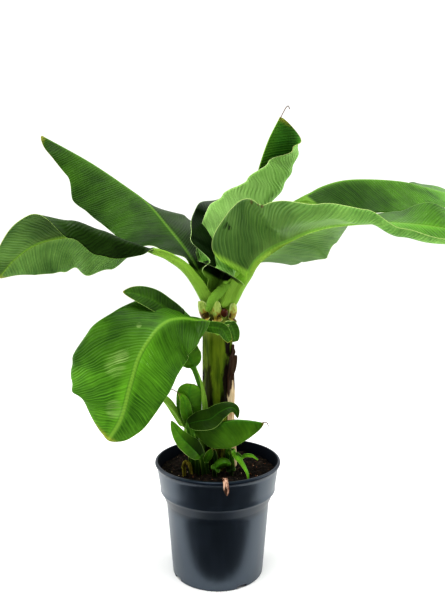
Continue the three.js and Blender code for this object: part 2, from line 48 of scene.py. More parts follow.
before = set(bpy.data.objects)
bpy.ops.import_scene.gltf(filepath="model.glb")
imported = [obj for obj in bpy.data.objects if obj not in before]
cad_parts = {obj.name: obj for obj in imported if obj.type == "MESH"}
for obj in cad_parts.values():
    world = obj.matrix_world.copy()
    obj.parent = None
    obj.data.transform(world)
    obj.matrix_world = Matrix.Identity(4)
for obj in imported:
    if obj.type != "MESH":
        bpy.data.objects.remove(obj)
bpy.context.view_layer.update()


class Slot(str, Enum):
    """Material slots of the record."""

    POT = "pot"
    SOIL = "soil"
    STEM = "stem"
    LEAF = "leaf"
    YOUNG = "young"
    DRY = "dry"


def smooth(value: np.ndarray | float) -> np.ndarray:
    """A smooth step from 0 to 1."""
    t = np.clip(value, 0.0, 1.0)
    return t * t * (3.0 - 2.0 * t)


def along(values: Numbers, t: np.ndarray | float) -> np.ndarray:
    """Eases through values spaced evenly from 0 to 1.

    Args:
        values: The values, at least one.
        t: Where to read them, from 0 to 1.

    Returns:
        The eased value at each t.
    """
    t = np.asarray(t, float)
    if len(values) == 1:
        return np.full(t.shape, float(values[0]))
    listed = np.asarray(values, float)
    place = np.clip(t, 0.0, 1.0) * (len(values) - 1)
    index = np.minimum(place.astype(int), len(values) - 2)
    return listed[index] + (listed[index + 1] - listed[index]) * smooth(place - index)


def lerp(low: float, high: float, share: np.ndarray | float) -> np.ndarray | float:
    """The value at a share of the way from low to high."""
    return low + (high - low) * share


def unit(vectors: np.ndarray) -> np.ndarray:
    """Vectors of length one, row by row."""
    return vectors / np.maximum(np.linalg.norm(vectors, axis=-1, keepdims=True), 1e-9)


def ripple_noise(x: np.ndarray, y: np.ndarray, seed: int) -> np.ndarray:
    """A soft seeded wave field, roughly from -1 to 1.

    Args:
        x: First coordinate, in waves.
        y: Second coordinate, in waves.
        seed: Fixes the field.

    Returns:
        The field's value at each place.
    """
    dice = np.random.default_rng(seed)
    total = np.zeros(np.broadcast(x, y).shape)
    for _ in range(WAVE_COUNT):
        turn, phase, pace = dice.uniform(0, math.tau, 3)
        speed = SLOWEST_WAVE + pace / math.pi
        total += np.sin((x * math.cos(turn) + y * math.sin(turn)) * speed * math.tau + phase)
    return total / (WAVE_COUNT / 2)


class Path:
    """A smooth line through given points, read by the share of its length."""

    def __init__(self, points: Sequence[Place]) -> None:
        """Measures the line.

        Args:
            points: Points on the line, in millimetres.
        """
        inner = np.asarray(points, float)
        self.points = np.vstack([2 * inner[0] - inner[1], inner, 2 * inner[-1] - inner[-2]])
        self.spans = len(inner) - 1
        self.steps = np.linspace(0.0, 1.0, STEPS_A_SPAN * self.spans + 1)
        parts = np.linalg.norm(np.diff(self.at(self.steps), axis=0), axis=1)
        self.lengths = np.concatenate([[0.0], np.cumsum(parts)])
        self.length = float(self.lengths[-1])

    def at(self, t: np.ndarray) -> np.ndarray:
        """Points on the line.

        Args:
            t: Shares of the number of spans.

        Returns:
            One point a row.
        """
        place = np.clip(np.asarray(t, float), 0.0, 1.0) * self.spans
        index = np.minimum(place.astype(int), self.spans - 1)
        w = (place - index)[:, None]
        a, b, c, d = (self.points[index + k] for k in range(4))
        start, end = 0.5 * (c - a), 0.5 * (d - b)
        return (b + start * w + (-3 * b + 3 * c - 2 * start - end) * w**2
                + (2 * b - 2 * c + start + end) * w**3)

    def spots(self, share: np.ndarray) -> tuple[np.ndarray, np.ndarray]:
        """Points and directions at shares of the length.

        Args:
            share: Shares of the length, from 0 to 1.

        Returns:
            The points and the unit directions.
        """
        t = np.interp(np.asarray(share) * self.length, self.lengths, self.steps)
        step = 1e-4
        return self.at(t), unit(self.at(t + step) - self.at(t - step))


@dataclass(frozen=True)
class Half:
    """One half of a blade: how it lifts from the level and bends on the way to its margin."""

    lift: Numbers
    curl: Numbers = (0.0,)
    fold_at: Numbers = (0.5,)
    fold_width: float = 1.0
    wide: float | None = None
    widest: float | None = None
    tip_fall: float | None = None
    start: float = 0.0
    foot_rise: float = 0.5
    outline: Numbers = (1.0,)
    # Painted light and shade along this half: below 1 it paints shade, above 1 it paints light.
    dim: Numbers = (1.0,)


@dataclass(frozen=True)
class LeafForm:
    """The shape of one leaf: its stalk, its midrib and the two halves of its blade."""

    name: str
    stalk: tuple[Place, ...]
    rib: tuple[Place, ...]
    face_foot: Place
    right: Half
    left: Half
    face_tip: Place | None = None
    face_stalk: Place | None = None
    stalk_half: Numbers = (9.0,)
    stalk_lift: Numbers = (10.0, 55.0, 55.0)
    stalk_curl: Numbers = (85.0, 10.0, 0.0)
    stalk_wall: float = 4.5
    rib_half: float = 5.0
    rib_depth: float = 5.0
    wide: float = 80.0
    widest: float = 0.42
    tip_fall: float = 2.2
    foot_fall: float = 2.0
    ends: tuple[float, float] = (0.1, 0.05)
    opening: float = 12.0
    blade: float = 1.4
    rows: int = 170
    stalk_rows: int = 34
    columns: int = 24
    wave: float = 3.0
    pleat: float = 0.05
    pleat_pitch: float = 7.0
    vein_slant: float = 0.5
    vein_bend: float = 0.002
    vein_drift: float = 1.2
    ribbed: float = 1.0
    stalk_until: float = 0.0
    rib_seen: float = 1.6
    # Painted light and shade along the whole leaf; in dried pieces low values stand for decay.
    dim: Numbers = (1.0,)
    joined: tuple["LeafForm", ...] = ()


@dataclass
class MeshData:
    """Arrays of one mesh: places in millimetres, quads, and what its material reads."""

    places: np.ndarray
    faces: np.ndarray
    looks: np.ndarray
    marks: dict[str, np.ndarray] = field(default_factory=dict)

    def plus(self, other: "MeshData") -> "MeshData":
        """Puts another mesh beside this one.

        Args:
            other: The other mesh, with the same marks.

        Returns:
            Both as one mesh.
        """
        faces = np.vstack([self.faces, other.faces + len(self.places)])
        marks = {key: np.concatenate([self.marks[key], other.marks[key]]) for key in self.marks}
        return MeshData(np.vstack([self.places, other.places]), faces,
                        np.concatenate([self.looks, other.looks]), marks)


@dataclass
class Spine:
    """Rows along a leaf's path: how far along they are, where they are and how they face."""

    t: np.ndarray
    on_blade: np.ndarray
    on_stalk: np.ndarray
    stalk_width: np.ndarray
    middle: np.ndarray
    right: np.ndarray
    normal: np.ndarray


@dataclass
class LeafShape:
    """Bends a fine sheet along a leaf's path, by the rule that its solid follows.

    A wave's run is its length along the leaf and its reach its length across it, in millimetres.
    A fade is one over the share in which a change is complete.
    """

    form: LeafForm
    row_crowding: float = 1.15
    column_crowding: float = 1.25
    steps_a_column: int = 4
    tip_bluntness: float = 0.8
    stalk_thins_from: float = 0.5
    stalk_thinning: float = 0.8
    drift_run: float = 90.0
    drift_reach: float = 60.0
    wave_run: float = 120.0
    wave_reach: float = 400.0
    wave_seed_step: int = 3
    wave_fade: float = 8.0
    pleats_until: float = 0.8
    pleat_fade: float = 5.0
    wall_fade: float = 1.5
    thins_from: float = 0.6
    thin_fade: float = 2.5
    thinning: float = 0.5
    rib_tip_half: float = 1.2
    rib_tip_depth: float = 0.25
    rib_spread: float = 1.6
    rib_rounding: float = 1.5
    groove_share: float = 0.25
    rib_seen_foot: float = 1.3
    stalk_fade: float = 14.0

    def __post_init__(self) -> None:
        """Measures the leaf's path and finds the blade's foot on it."""
        stalk = self.form.stalk
        self.path = Path(stalk + self.form.rib)
        self.foot = float(self.path.lengths[STEPS_A_SPAN * len(stalk)] / self.path.length)

    def blade_half(self, half: Half, whole: np.ndarray) -> np.ndarray:
        """Half-width of the blade, in millimetres.

        Args:
            half: The half of the blade.
            whole: Shares of the blade's length.

        Returns:
            The half-width at each share.
        """
        form = self.form
        wide = (half.wide or form.wide) * along(half.outline, whole)
        widest = half.widest or form.widest
        tip_fall = half.tip_fall or form.tip_fall
        t = np.clip((whole - half.start) / (1 - half.start), 0.0, 1.0)
        back = np.clip(1 - t / widest, 0.0, 1.0)
        inner = lerp(form.ends[0], 1.0, np.maximum(0.0, 1 - back**form.foot_fall) ** half.foot_rise)
        out = np.clip((t - widest) / (1 - widest), 0.0, 1.0)
        outer = lerp(form.ends[1], 1.0, (1 - out**tip_fall) ** self.tip_bluntness)
        width = wide * np.where(t < widest, inner, outer)
        return np.where(whole < half.start, 0.0, width)

    def spine(self) -> Spine:
        """Lays the leaf's rows along its path, closer together near the blade's foot.

        Returns:
            The rows.
        """
        form = self.form
        stalk = np.linspace(0.0, 1.0, form.stalk_rows, endpoint=False)
        blade = np.linspace(0.0, 1.0, form.rows + 1)[1:]
        on_stalk = np.concatenate([stalk, np.ones(form.rows)])
        on_blade = np.concatenate([np.zeros(form.stalk_rows), blade])
        t = on_blade**self.row_crowding
        share = np.where(on_blade > 0, self.foot + (1 - self.foot) * t, self.foot * on_stalk)
        middle, tangent = self.path.spots(share)
        ways = (form.face_stalk or form.face_foot, form.face_foot, form.face_tip or form.face_foot)
        start, foot, tip = (np.asarray(way, float) for way in ways)
        face = lerp(start, lerp(foot, tip, smooth(share)[:, None]), smooth(on_stalk)[:, None])
        right = unit(np.cross(tangent, face))
        normal = unit(np.cross(right, tangent))
        thinned = smooth((t - self.stalk_thins_from) / (1 - self.stalk_thins_from))
        stalk_width = along(form.stalk_half, on_stalk) * (1 - self.stalk_thinning * thinned)
        return Spine(t, on_blade, on_stalk, stalk_width, middle, right, normal)

    def sheet(self) -> MeshData:
        """The leaf as a closed thin sheet with an upper side and an underside.

        Returns:
            The leaf's mesh, with the pieces joined to it.
        """
        spine = self.spine()
        left = self.half_sheet(self.form.left, -1, spine)
        right = self.half_sheet(self.form.right, 1, spine)
        whole = {key: np.concatenate([left[key][:, :0:-1], right[key]], axis=1) for key in left}
        mesh = self.closed(whole.pop("top"), whole.pop("low"), whole)
        for piece in self.form.joined:
            mesh = mesh.plus(LeafShape(piece).sheet())
        return mesh

    def bent(self, half: Half, spine: Spine, width: np.ndarray) -> tuple[np.ndarray, np.ndarray, np.ndarray]:
        """Lays each cross section off from the midrib.

        Args:
            half: The half's form.
            spine: The leaf's rows.
            width: The half-width of each row.

        Returns:
            Distance to the side, height and slope of each point.
        """
        form, t, skip = self.form, spine.t, self.steps_a_column
        steps = np.linspace(0.0, 1.0, form.columns * skip + 1) ** self.column_crowding
        mids = (steps[1:] + steps[:-1]) / 2
        bend = np.clip((mids[None] - along(half.fold_at, t)[:, None]) / half.fold_width + 0.5, 0, 1)
        blend = smooth(t * form.opening)
        lift = lerp(along(form.stalk_lift, spine.on_stalk), along(half.lift, t), blend)[:, None]
        curl = lerp(along(form.stalk_curl, spine.on_stalk), along(half.curl, t), blend)[:, None]
        angle = np.radians(lift + curl * bend)
        parts = np.diff(steps)[None] * width[:, None]
        zero = np.zeros((len(t), 1))
        side, rise = (np.concatenate([zero, np.cumsum(part(angle) * parts, axis=1)], axis=1)
                      for part in (np.cos, np.sin))
        turn = np.concatenate([angle[:, :1], (angle[:, 1:] + angle[:, :-1]) / 2, angle[:, -1:]], axis=1)
        turn[:, 0] = 0.0
        return side[:, ::skip], rise[:, ::skip], turn[:, ::skip]

    def half_sheet(self, half: Half, sign: int, spine: Spine) -> dict[str, np.ndarray]:
        """One half of the leaf, from its midrib to its margin.

        Args:
            half: The half's form.
            sign: 1 for the right half and -1 for the left.
            spine: The leaf's rows.

        Returns:
            Places of its upper side and its underside as top and low, and the marks of its points.
        """
        form, t = self.form, spine.t
        rib_share = smooth(t)[:, None]
        across = (np.linspace(0.0, 1.0, form.columns + 1) ** self.column_crowding)[None]
        blade_width = np.where(spine.on_blade > 0, self.blade_half(half, t), 0.0)
        width = np.maximum(spine.stalk_width, blade_width)
        side, rise, turn = self.bent(half, spine, width)
        width = width[:, None]
        distance = across * width
        seed = sum(map(ord, form.name)) + sign
        run = t[:, None] * self.path.length * (1 - self.foot)
        drift = ripple_noise(run / self.drift_run, distance / self.drift_reach, seed) * form.vein_drift
        vein = run - form.vein_slant * distance - form.vein_bend * distance**2 + drift
        wavy = ripple_noise(run / self.wave_run, distance / self.wave_reach, seed + self.wave_seed_step)
        wavy = wavy * form.wave * across**2
        pleats = np.sin(vein * math.tau / form.pleat_pitch) * form.pleat * smooth(across * self.pleat_fade)
        pleats = pleats * (1 - smooth((across - self.pleats_until) * self.pleat_fade))
        offset = (wavy + pleats) * smooth(spine.on_blade * self.wave_fade)[:, None]
        thick = lerp(form.stalk_wall, form.blade, smooth(t * form.opening * self.wall_fade))[:, None]
        thick = thick * (1 - self.thinning * smooth((across - self.thins_from) * self.thin_fade))
        rib_width = np.minimum(lerp(form.rib_half, self.rib_tip_half, rib_share), width / 2)
        reach = np.clip(distance / (rib_width * self.rib_spread), 0, 1)
        depth_left = lerp(1.0, self.rib_tip_depth, rib_share)
        bulge = form.rib_depth * depth_left * (1 - reach**2) ** self.rib_rounding
        groove = self.groove_share * bulge * smooth(t * form.opening)[:, None]
        sides = []
        for depth in (thick / 2 + offset - groove, -thick / 2 - bulge + offset):
            out = (sign * (side - np.sin(turn) * depth))[..., None]
            up = (rise + np.cos(turn) * depth)[..., None]
            sides.append(spine.middle[:, None] + spine.right[:, None] * out + spine.normal[:, None] * up)
        rib_seen = lerp(form.rib_half * self.rib_seen_foot, form.rib_seen, rib_share)
        marks = {
            "across": across,
            "vein": vein / VEIN_UNIT,
            "share": t[:, None],
            "rib": np.clip(1 - distance / rib_seen, 0, 1) * form.ribbed,
            # The mark of painted light and shade, which dried pieces read as decay.
            "dim": (along(form.dim, t) * along(half.dim, t))[:, None],
            "stalk": 1 - smooth((spine.on_blade - form.stalk_until) * self.stalk_fade)[:, None],
            "edge": np.clip((width - distance) / EDGE_UNIT, 0, 1),
        }
        spread = {key: np.broadcast_to(value, side.shape) for key, value in marks.items()}
        return {"top": sides[0], "low": sides[1], **spread}

    def closed(self, top: np.ndarray, low: np.ndarray, marks: dict[str, np.ndarray]) -> MeshData:
        """Joins the two sides of a sheet round their edge.

        Args:
            top: Grid of places of the upper side.
            low: Grid of places of the underside.
            marks: Grids of marks, alike on both sides.

        Returns:
            The closed mesh, with look 0 above and 1 below.
        """
        rows, columns = top.shape[:2]
        count = rows * columns
        grid = np.arange(count).reshape(rows, columns)
        quads = grid_quads(rows, columns).reshape(-1, 4)
        ring = np.concatenate([grid[0, :-1], grid[:-1, -1], grid[-1, :0:-1], grid[:0:-1, 0]])
        after = np.roll(ring, -1)
        rim = np.stack([after, ring, ring + count, after + count], axis=-1)
        faces = np.vstack([quads, quads[:, ::-1] + count, rim])
        looks = np.concatenate([np.zeros(len(quads)), np.ones(len(quads) + len(rim))]).astype(int)
        doubled = {key: np.tile(value.reshape(-1), 2) for key, value in marks.items()}
        return MeshData(np.vstack([top.reshape(-1, 3), low.reshape(-1, 3)]), faces, looks, doubled)


def grid_quads(rows: int, columns: int) -> np.ndarray:
    """Four corners for each quad of a grid of points, by row and column."""
    grid = np.arange(rows * columns).reshape(rows, columns)
    return np.stack([grid[:-1, :-1], grid[:-1, 1:], grid[1:, 1:], grid[1:, :-1]], axis=-1)


def tube(rings: np.ndarray, low: float, high: float) -> MeshData:
    """Joins a stack of rings and closes it with a point on the axis at each end.

    Args:
        rings: Places, by ring and by step round it.
        low: Height of the first end's middle.
        high: Height of the last end's middle.

    Returns:
        The closed mesh.
    """
    rows, sides = rings.shape[:2]
    count = rows * sides
    grid = np.arange(count).reshape(rows, sides)
    beside = np.roll(grid, -1, axis=1)
    quads = np.stack([grid[:-1], beside[:-1], beside[1:], grid[1:]], axis=-1).reshape(-1, 4)
    first, last = np.full(sides, count), np.full(sides, count + 1)
    caps = [np.stack([first, beside[0], grid[0], first], axis=-1),
            np.stack([last, grid[-1], beside[-1], last], axis=-1)]
    faces = np.vstack([quads, *caps])
    places = np.vstack([rings.reshape(-1, 3), [[0, 0, low], [0, 0, high]]])
    return MeshData(places, faces, np.zeros(len(faces), int))


def turned(profile: Sequence[tuple[float, float]], sides: int) -> MeshData:
    """Turns a profile that starts and ends on the upright axis.

    Args:
        profile: Points as (radius, height), from the underside round the outside.
        sides: Number of faces round.

    Returns:
        The closed mesh.
    """
    inner = np.asarray(profile[1:-1], float)
    turns = np.arange(sides) * math.tau / sides
    rings = np.stack([inner[:, :1] * np.cos(turns), inner[:, :1] * np.sin(turns),
                      np.repeat(inner[:, 1:], sides, axis=1)], axis=-1)
    return tube(rings, profile[0][1], profile[-1][1])


def make_piece(name: str, mesh: MeshData, materials: Sequence[bpy.types.Material]) -> bpy.types.Object:
    """Makes a smooth-shaded object at the origin from mesh arrays.

    Args:
        name: The object's name.
        mesh: Its arrays, in millimetres.
        materials: Its materials, in the order of the looks.

    Returns:
        The new object.
    """
    data = bpy.data.meshes.new(name)
    corners = [list(dict.fromkeys(face)) for face in mesh.faces.tolist()]
    data.from_pydata((mesh.places * MM).tolist(), [], corners)
    for material in materials:
        data.materials.append(material)
    data.polygons.foreach_set("material_index", mesh.looks.astype(np.int32))
    data.polygons.foreach_set("use_smooth", np.ones(len(corners), bool))
    for key, values in mesh.marks.items():
        data.attributes.new(key, "FLOAT", "POINT").data.foreach_set("value", values.astype(np.float32))
    data.update()
    return linked(name, data)


def linked(name: str, data: bpy.types.ID) -> bpy.types.Object:
    """Makes an object of some data and puts it in the scene.

    Args:
        name: The object's name.
        data: Its mesh, lamp or camera.

    Returns:
        The new object.
    """
    made = bpy.data.objects.new(name, data)
    bpy.context.scene.collection.objects.link(made)
    return made


def keep_result(piece: bpy.types.Object) -> None:
    """Makes the result of a piece's modifiers its own mesh.

    Args:
        piece: The piece, whose modifiers are then removed.
    """
    ready = piece.evaluated_get(bpy.context.evaluated_depsgraph_get())
    whole = bpy.data.meshes.new_from_object(ready)
    piece.modifiers.clear()
    piece.data = whole


def settle(piece: bpy.types.Object, slot: Slot, *nodes: str) -> None:
    """Gives a finished piece its body and hides the nodes it stands for.

    Args:
        piece: The finished object.
        slot: Its material slot; not used.
        nodes: The solids that it replaces.
    """
    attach(piece, "root")
    if nodes:
        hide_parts(*nodes)
    log.info("%s: %d faces for %s", piece.name, len(piece.data.polygons), ", ".join(nodes) or "detail")


class Wire:
    """The value that leaves a material's node; a sum with it adds a node."""

    def __init__(self, bench: "Bench", socket: bpy.types.NodeSocket) -> None:
        """Keeps the bench that builds the nodes and the output that the value leaves by."""
        self.bench = bench
        self.socket = socket

    def __add__(self, other: "Value") -> "Wire":
        """The sum with another value."""
        return self.bench.math("ADD", self, other)

    def __sub__(self, other: "Value") -> "Wire":
        """This value less another."""
        return self.bench.math("SUBTRACT", self, other)

    def __rsub__(self, other: float) -> "Wire":
        """A number less this value."""
        return self.bench.math("SUBTRACT", other, self)

    def __mul__(self, other: "Value") -> "Wire":
        """The product with another value."""
        return self.bench.math("MULTIPLY", self, other)

    def step(self, low: float, high: float) -> "Wire":
        """Rises smoothly from 0 where the value is low to 1 where it is high."""
        ends = {"Value": self, "From Min": low, "From Max": high}
        return self.bench.node("ShaderNodeMapRange", ends, "Result", interpolation_type="SMOOTHSTEP")

    def toward(self, tint: "Value", share: "Value") -> "Wire":
        """This colour taken a share of the way to another."""
        return self.bench.mix(share, self, tint)

    def shaded(self, tone: "Wire") -> "Wire":
        """This colour multiplied by a tone."""
        return self.bench.mix(1.0, self, self.bench.join(tone, tone, tone), "MULTIPLY")


Value = Wire | float | tuple


class Bench:
    """Builds the nodes of one material."""

    mix_share, mix_first, mix_second, mix_result = 0, 6, 7, 2

    def __init__(self, name: str) -> None:
        """Starts an empty material with one principled shader.

        Args:
            name: The material's name.
        """
        self.material = bpy.data.materials.new(name)
        self.material.use_nodes = True
        self.tree = self.material.node_tree
        self.tree.nodes.clear()
        self.shader = self.tree.nodes.new("ShaderNodeBsdfPrincipled")
        output = self.tree.nodes.new("ShaderNodeOutputMaterial")
        self.tree.links.new(self.shader.outputs["BSDF"], output.inputs["Surface"])

    def fill(self, socket: bpy.types.NodeSocket, value: Value) -> None:
        """Links a wire to a socket, or sets the socket's own value.

        Args:
            socket: The input.
            value: A wire, a number, a place or a colour.
        """
        if isinstance(value, Wire):
            self.tree.links.new(value.socket, socket)
        elif isinstance(value, tuple) and len(value) < len(socket.default_value):
            socket.default_value = (*value, 1.0)
        else:
            socket.default_value = value

    def node(self, kind: str, inputs: dict[str | int, Value], result: str | int = 0,
             **settings: object) -> Wire:
        """Adds a node, sets its options and fills its inputs.

        Args:
            kind: The node's type.
            inputs: Values by the input's name or number.
            result: The output to read.
            settings: The node's own options.

        Returns:
            The value that leaves it.
        """
        node = self.tree.nodes.new(kind)
        for name, value in settings.items():
            setattr(node, name, value)
        for name, value in inputs.items():
            self.fill(node.inputs[name], value)
        return Wire(self, node.outputs[result])

    def mark(self, name: str) -> Wire:
        """Reads one mark of the mesh."""
        return self.node("ShaderNodeAttribute", {}, "Fac", attribute_name=name)

    def place(self, scale: Place = (1.0, 1.0, 1.0)) -> Wire:
        """Object coordinates, scaled."""
        source = self.node("ShaderNodeTexCoord", {}, "Object")
        return self.node("ShaderNodeMapping", {"Vector": source, "Scale": scale})

    def join(self, x: Value, y: Value, z: Value) -> Wire:
        """A vector from three numbers."""
        return self.node("ShaderNodeCombineXYZ", {"X": x, "Y": y, "Z": z})

    def axis(self, name: str) -> Wire:
        """One of the three Object coordinates."""
        return self.node("ShaderNodeSeparateXYZ", {"Vector": self.place()}, name)

    def math(self, kind: str, *values: Value) -> Wire:
        """One sum of the given kind."""
        return self.node("ShaderNodeMath", dict(enumerate(values)), operation=kind)

    def noise(self, vector: Wire, scale: float, detail: float = 4.0, rough: float = 0.55) -> Wire:
        """Noise from 0 to 1, with finer layers by its detail and their strength by its roughness."""
        inputs = {"Vector": vector, "Scale": scale, "Detail": detail, "Roughness": rough}
        return self.node("ShaderNodeTexNoise", inputs, "Fac")

    def grain(self, stretch: float, scale: float, detail: float = 4.0, rough: float = 0.55) -> Wire:
        """Noise on Object coordinates, drawn out upward where stretch is below 1."""
        return self.noise(self.place((1.0, 1.0, stretch)), scale, detail, rough)

    def veined(self, grain: tuple[float, float], along_leaf: Value, detail: float = 4.0,
               rough: float = 0.55) -> Wire:
        """Noise on a leaf's marks, as fine from vein to vein and across the leaf as its grain says."""
        across = self.mark("across") * grain[1]
        return self.noise(self.join(self.mark("vein") * grain[0], across, along_leaf), 1.0, detail, rough)

    def away(self, vector: Wire, place: Place) -> Wire:
        """Distance from a place given in metres."""
        return self.node("ShaderNodeVectorMath", {0: vector, 1: place}, "Value", operation="DISTANCE")

    def mix(self, share: Value, first: Value, second: Value, kind: str = "MIX") -> Wire:
        """Goes a share of the way from the first colour to the second."""
        inputs = {self.mix_share: share, self.mix_first: first, self.mix_second: second}
        return self.node("ShaderNodeMix", inputs, self.mix_result, data_type="RGBA", blend_type=kind)

    def bump(self, height: Wire, strength: float, distance: float) -> None:
        """Raises the surface by a height, after any bump that is there.

        Args:
            height: The height, from 0 to 1.
            strength: The share of the bump that shows.
            distance: How high 1 is, in metres.
        """
        inputs = {"Height": height, "Strength": strength, "Distance": distance}
        links = self.shader.inputs["Normal"].links
        if links:
            inputs["Normal"] = Wire(self, links[0].from_socket)
        self.fill(self.shader.inputs["Normal"], self.node("ShaderNodeBump", inputs))

    def finish(self, colour: Value, roughness: Value, specular: Value) -> bpy.types.Material:
        """Fills the shader and hands the material over.

        Args:
            colour: The base colour.
            roughness: The roughness.
            specular: The strength of the sheen.

        Returns:
            The finished material.
        """
        self.fill(self.shader.inputs["Base Color"], colour)
        self.fill(self.shader.inputs["Roughness"], roughness)
        self.fill(self.shader.inputs["Specular IOR Level"], specular)
        return self.material


@dataclass(frozen=True)
class BladeFinish:
    """Look of one side of a leaf's blade and of its midrib."""

    name: str
    deep: Colour
    fresh: Colour
    vein: Colour
    rib: Colour
    rib_edge: Colour
    margin: Colour
    stalk: Colour
    roughness: float = 0.42
    specular: float = 0.2
    vein_share: float = 0.3
    veins_per_mark: float = 19.0
    margin_mm: float = 1.3
    rib_from: float = 0.05
    relief: float = 0.4
    fold_relief: float = 0.0012
    vein_relief: float = 0.0005
    scratches: float = 0.35
    scar: Colour = (0.3, 0.45, 0.2)
    tip: Colour = (0.45, 0.4, 0.06)
    tip_share: float = 0.7
    # Whether this side is painted with the light and shade of the leaf's mark.
    takes_painted_light: bool = True
    # Share of the stalk's colour left at the soil, where it is painted darker as shade.
    stalk_shade_at_soil: float = 1.0
    # Spots by place, size, share and colour: real scratches and brown spots, and patches of painted shade.
    scars_and_shade_patches: tuple[tuple[Place, float, float, Colour], ...] = ()
    painted_fold_shade: float = 0.75
    scratch_grain: tuple[float, float] = (150.0, 7.0)
    streak_grain: tuple[float, float] = (60.0, 1.6)
    fold_grain: tuple[float, float] = (24.0, 0.9)
    fibre_grain: tuple[float, float] = (22.0, 2.0)
    mottle_scale: float = 14.0
    darkest_painted_fold: float = 0.3
    # How strongly the midrib takes the painted shade of the mark.
    rib_painted_shade: float = 0.6
    stalk_shade_reach: tuple[float, float] = (0.18, 0.26)
    streak_share: float = 0.42
    midrib_share: float = 0.45
    midrib_reach: tuple[float, float] = (0.02, 0.24)
    margin_share: float = 0.85
    tip_from: tuple[float, float] = (0.965, 1.0)
    roughness_spread: float = 0.2

    def blade(self, bench: Bench, spot: Wire, streak: Wire, folds: Wire, wave: Wire) -> Wire:
        """Colours the blade: mottle, streaks, scratches, veins, painted light and shade of its folds and of
        the leaf's mark, and margin.

        Args:
            bench: Where the nodes are built.
            spot: Object coordinates.
            streak: Fine noise along the veins.
            folds: Broad noise along the veins.
            wave: The waves of the veins.

        Returns:
            The blade's colour.
        """
        across, share = bench.mark("across"), bench.mark("share")
        broad = bench.noise(spot, self.mottle_scale, 3.0)
        colour = bench.mix(broad.step(0.35, 0.68), self.deep, self.fresh)
        colour = colour.toward(self.vein, streak.step(0.4, 0.76) * self.streak_share)
        scratch = bench.veined(self.scratch_grain, share, 3.0).step(0.62, 0.72)
        colour = colour.toward(self.scar, scratch * broad.step(0.5, 0.66) * self.scratches)
        fade = 1.0 - across.step(0.75, 1.0)
        colour = colour.toward(self.vein, wave.step(0.2, 1.0) * fade * self.vein_share)
        colour = colour.toward(self.vein, (1.0 - across.step(*self.midrib_reach)) * self.midrib_share)
        # Painted light and shade of the folds: broad noise along the veins lightens and darkens the colour.
        colour = colour.shaded(bench.math("MAXIMUM", folds * self.painted_fold_shade + 1.0, self.darkest_painted_fold))
        # Painted light and shade: the colour is multiplied by the leaf's mark.
        if self.takes_painted_light:
            colour = colour.shaded(bench.mark("dim"))
        reach = self.margin_mm / EDGE_UNIT
        edge = 1.0 - bench.mark("edge").step(reach * 0.4, reach)
        margin = bench.mix(share.step(0.7, 0.97) * 0.8, self.margin, self.tip)
        return colour.toward(margin, edge * self.margin_share)

    def ribbed(self, bench: Bench, colour: Wire) -> Wire:
        """Adds the midrib and the stalk to the blade's colour.

        Args:
            bench: Where the nodes are built.
            colour: The blade's colour.

        Returns:
            The colour with both.
        """
        rib = bench.mark("rib")
        ridge = bench.mix(rib.step(0.4, 0.9), self.rib_edge, self.rib)
        # The midrib takes the mark's painted shade, none of its painted light.
        dim = bench.math("MINIMUM", bench.mark("dim"), 1.0)
        ridge = ridge.shaded(bench.math("POWER", dim, self.rib_painted_shade))
        colour = colour.toward(ridge, rib.step(self.rib_from, self.rib_from + 0.2))
        wide, long = self.fibre_grain
        grain = bench.join(bench.mark("across") * wide, bench.mark("vein") * long, 0.0)
        fibres = bench.noise(grain, 1.0)
        stalk = bench.mix(fibres.step(0.3, 0.7), self.stalk, self.rib)
        # Painted shade: the stalk is darkened toward the soil.
        if self.stalk_shade_at_soil < 1.0:
            low = bench.axis("Z").step(*self.stalk_shade_reach)
            stalk = stalk.shaded(low * (1.0 - self.stalk_shade_at_soil) + self.stalk_shade_at_soil)
        return colour.toward(stalk, bench.mark("stalk").step(0.25, 0.8))

    def material(self) -> bpy.types.Material:
        """Builds the material from the leaf's marks.

        Returns:
            The finished material.
        """
        bench = Bench(self.name)
        vein, share = bench.mark("vein"), bench.mark("share")
        spot = bench.place()
        streak = bench.veined(self.streak_grain, share, 5.0, 0.65)
        folds = bench.veined(self.fold_grain, share, 4.0, 0.6) - 0.5
        wave = bench.math("SINE", vein * (self.veins_per_mark * math.tau))
        colour = self.ribbed(bench, self.blade(bench, spot, streak, folds, wave))
        dried = share.step(*self.tip_from) * streak.step(0.3, 0.6)
        colour = colour.toward(self.tip, dried * self.tip_share)
        # Each spot tints the colour round its place; some paint shade.
        for place, size, seen, tint in self.scars_and_shade_patches:
            near = bench.away(spot, place) - streak * (size * 0.9)
            mark = 1.0 - near.step(size * 0.1, size * 0.6)
            colour = colour.toward(tint, mark * (streak.step(0.4, 0.56) * seen))
        bench.bump(wave, self.relief, self.vein_relief)
        bench.bump(streak, self.relief, self.vein_relief)
        bench.bump(folds, self.relief, self.fold_relief)
        spread = self.roughness_spread
        return bench.finish(colour, streak * spread + (self.roughness - spread / 2), self.specular)


SCRATCH = (0.35, 0.5, 0.16)
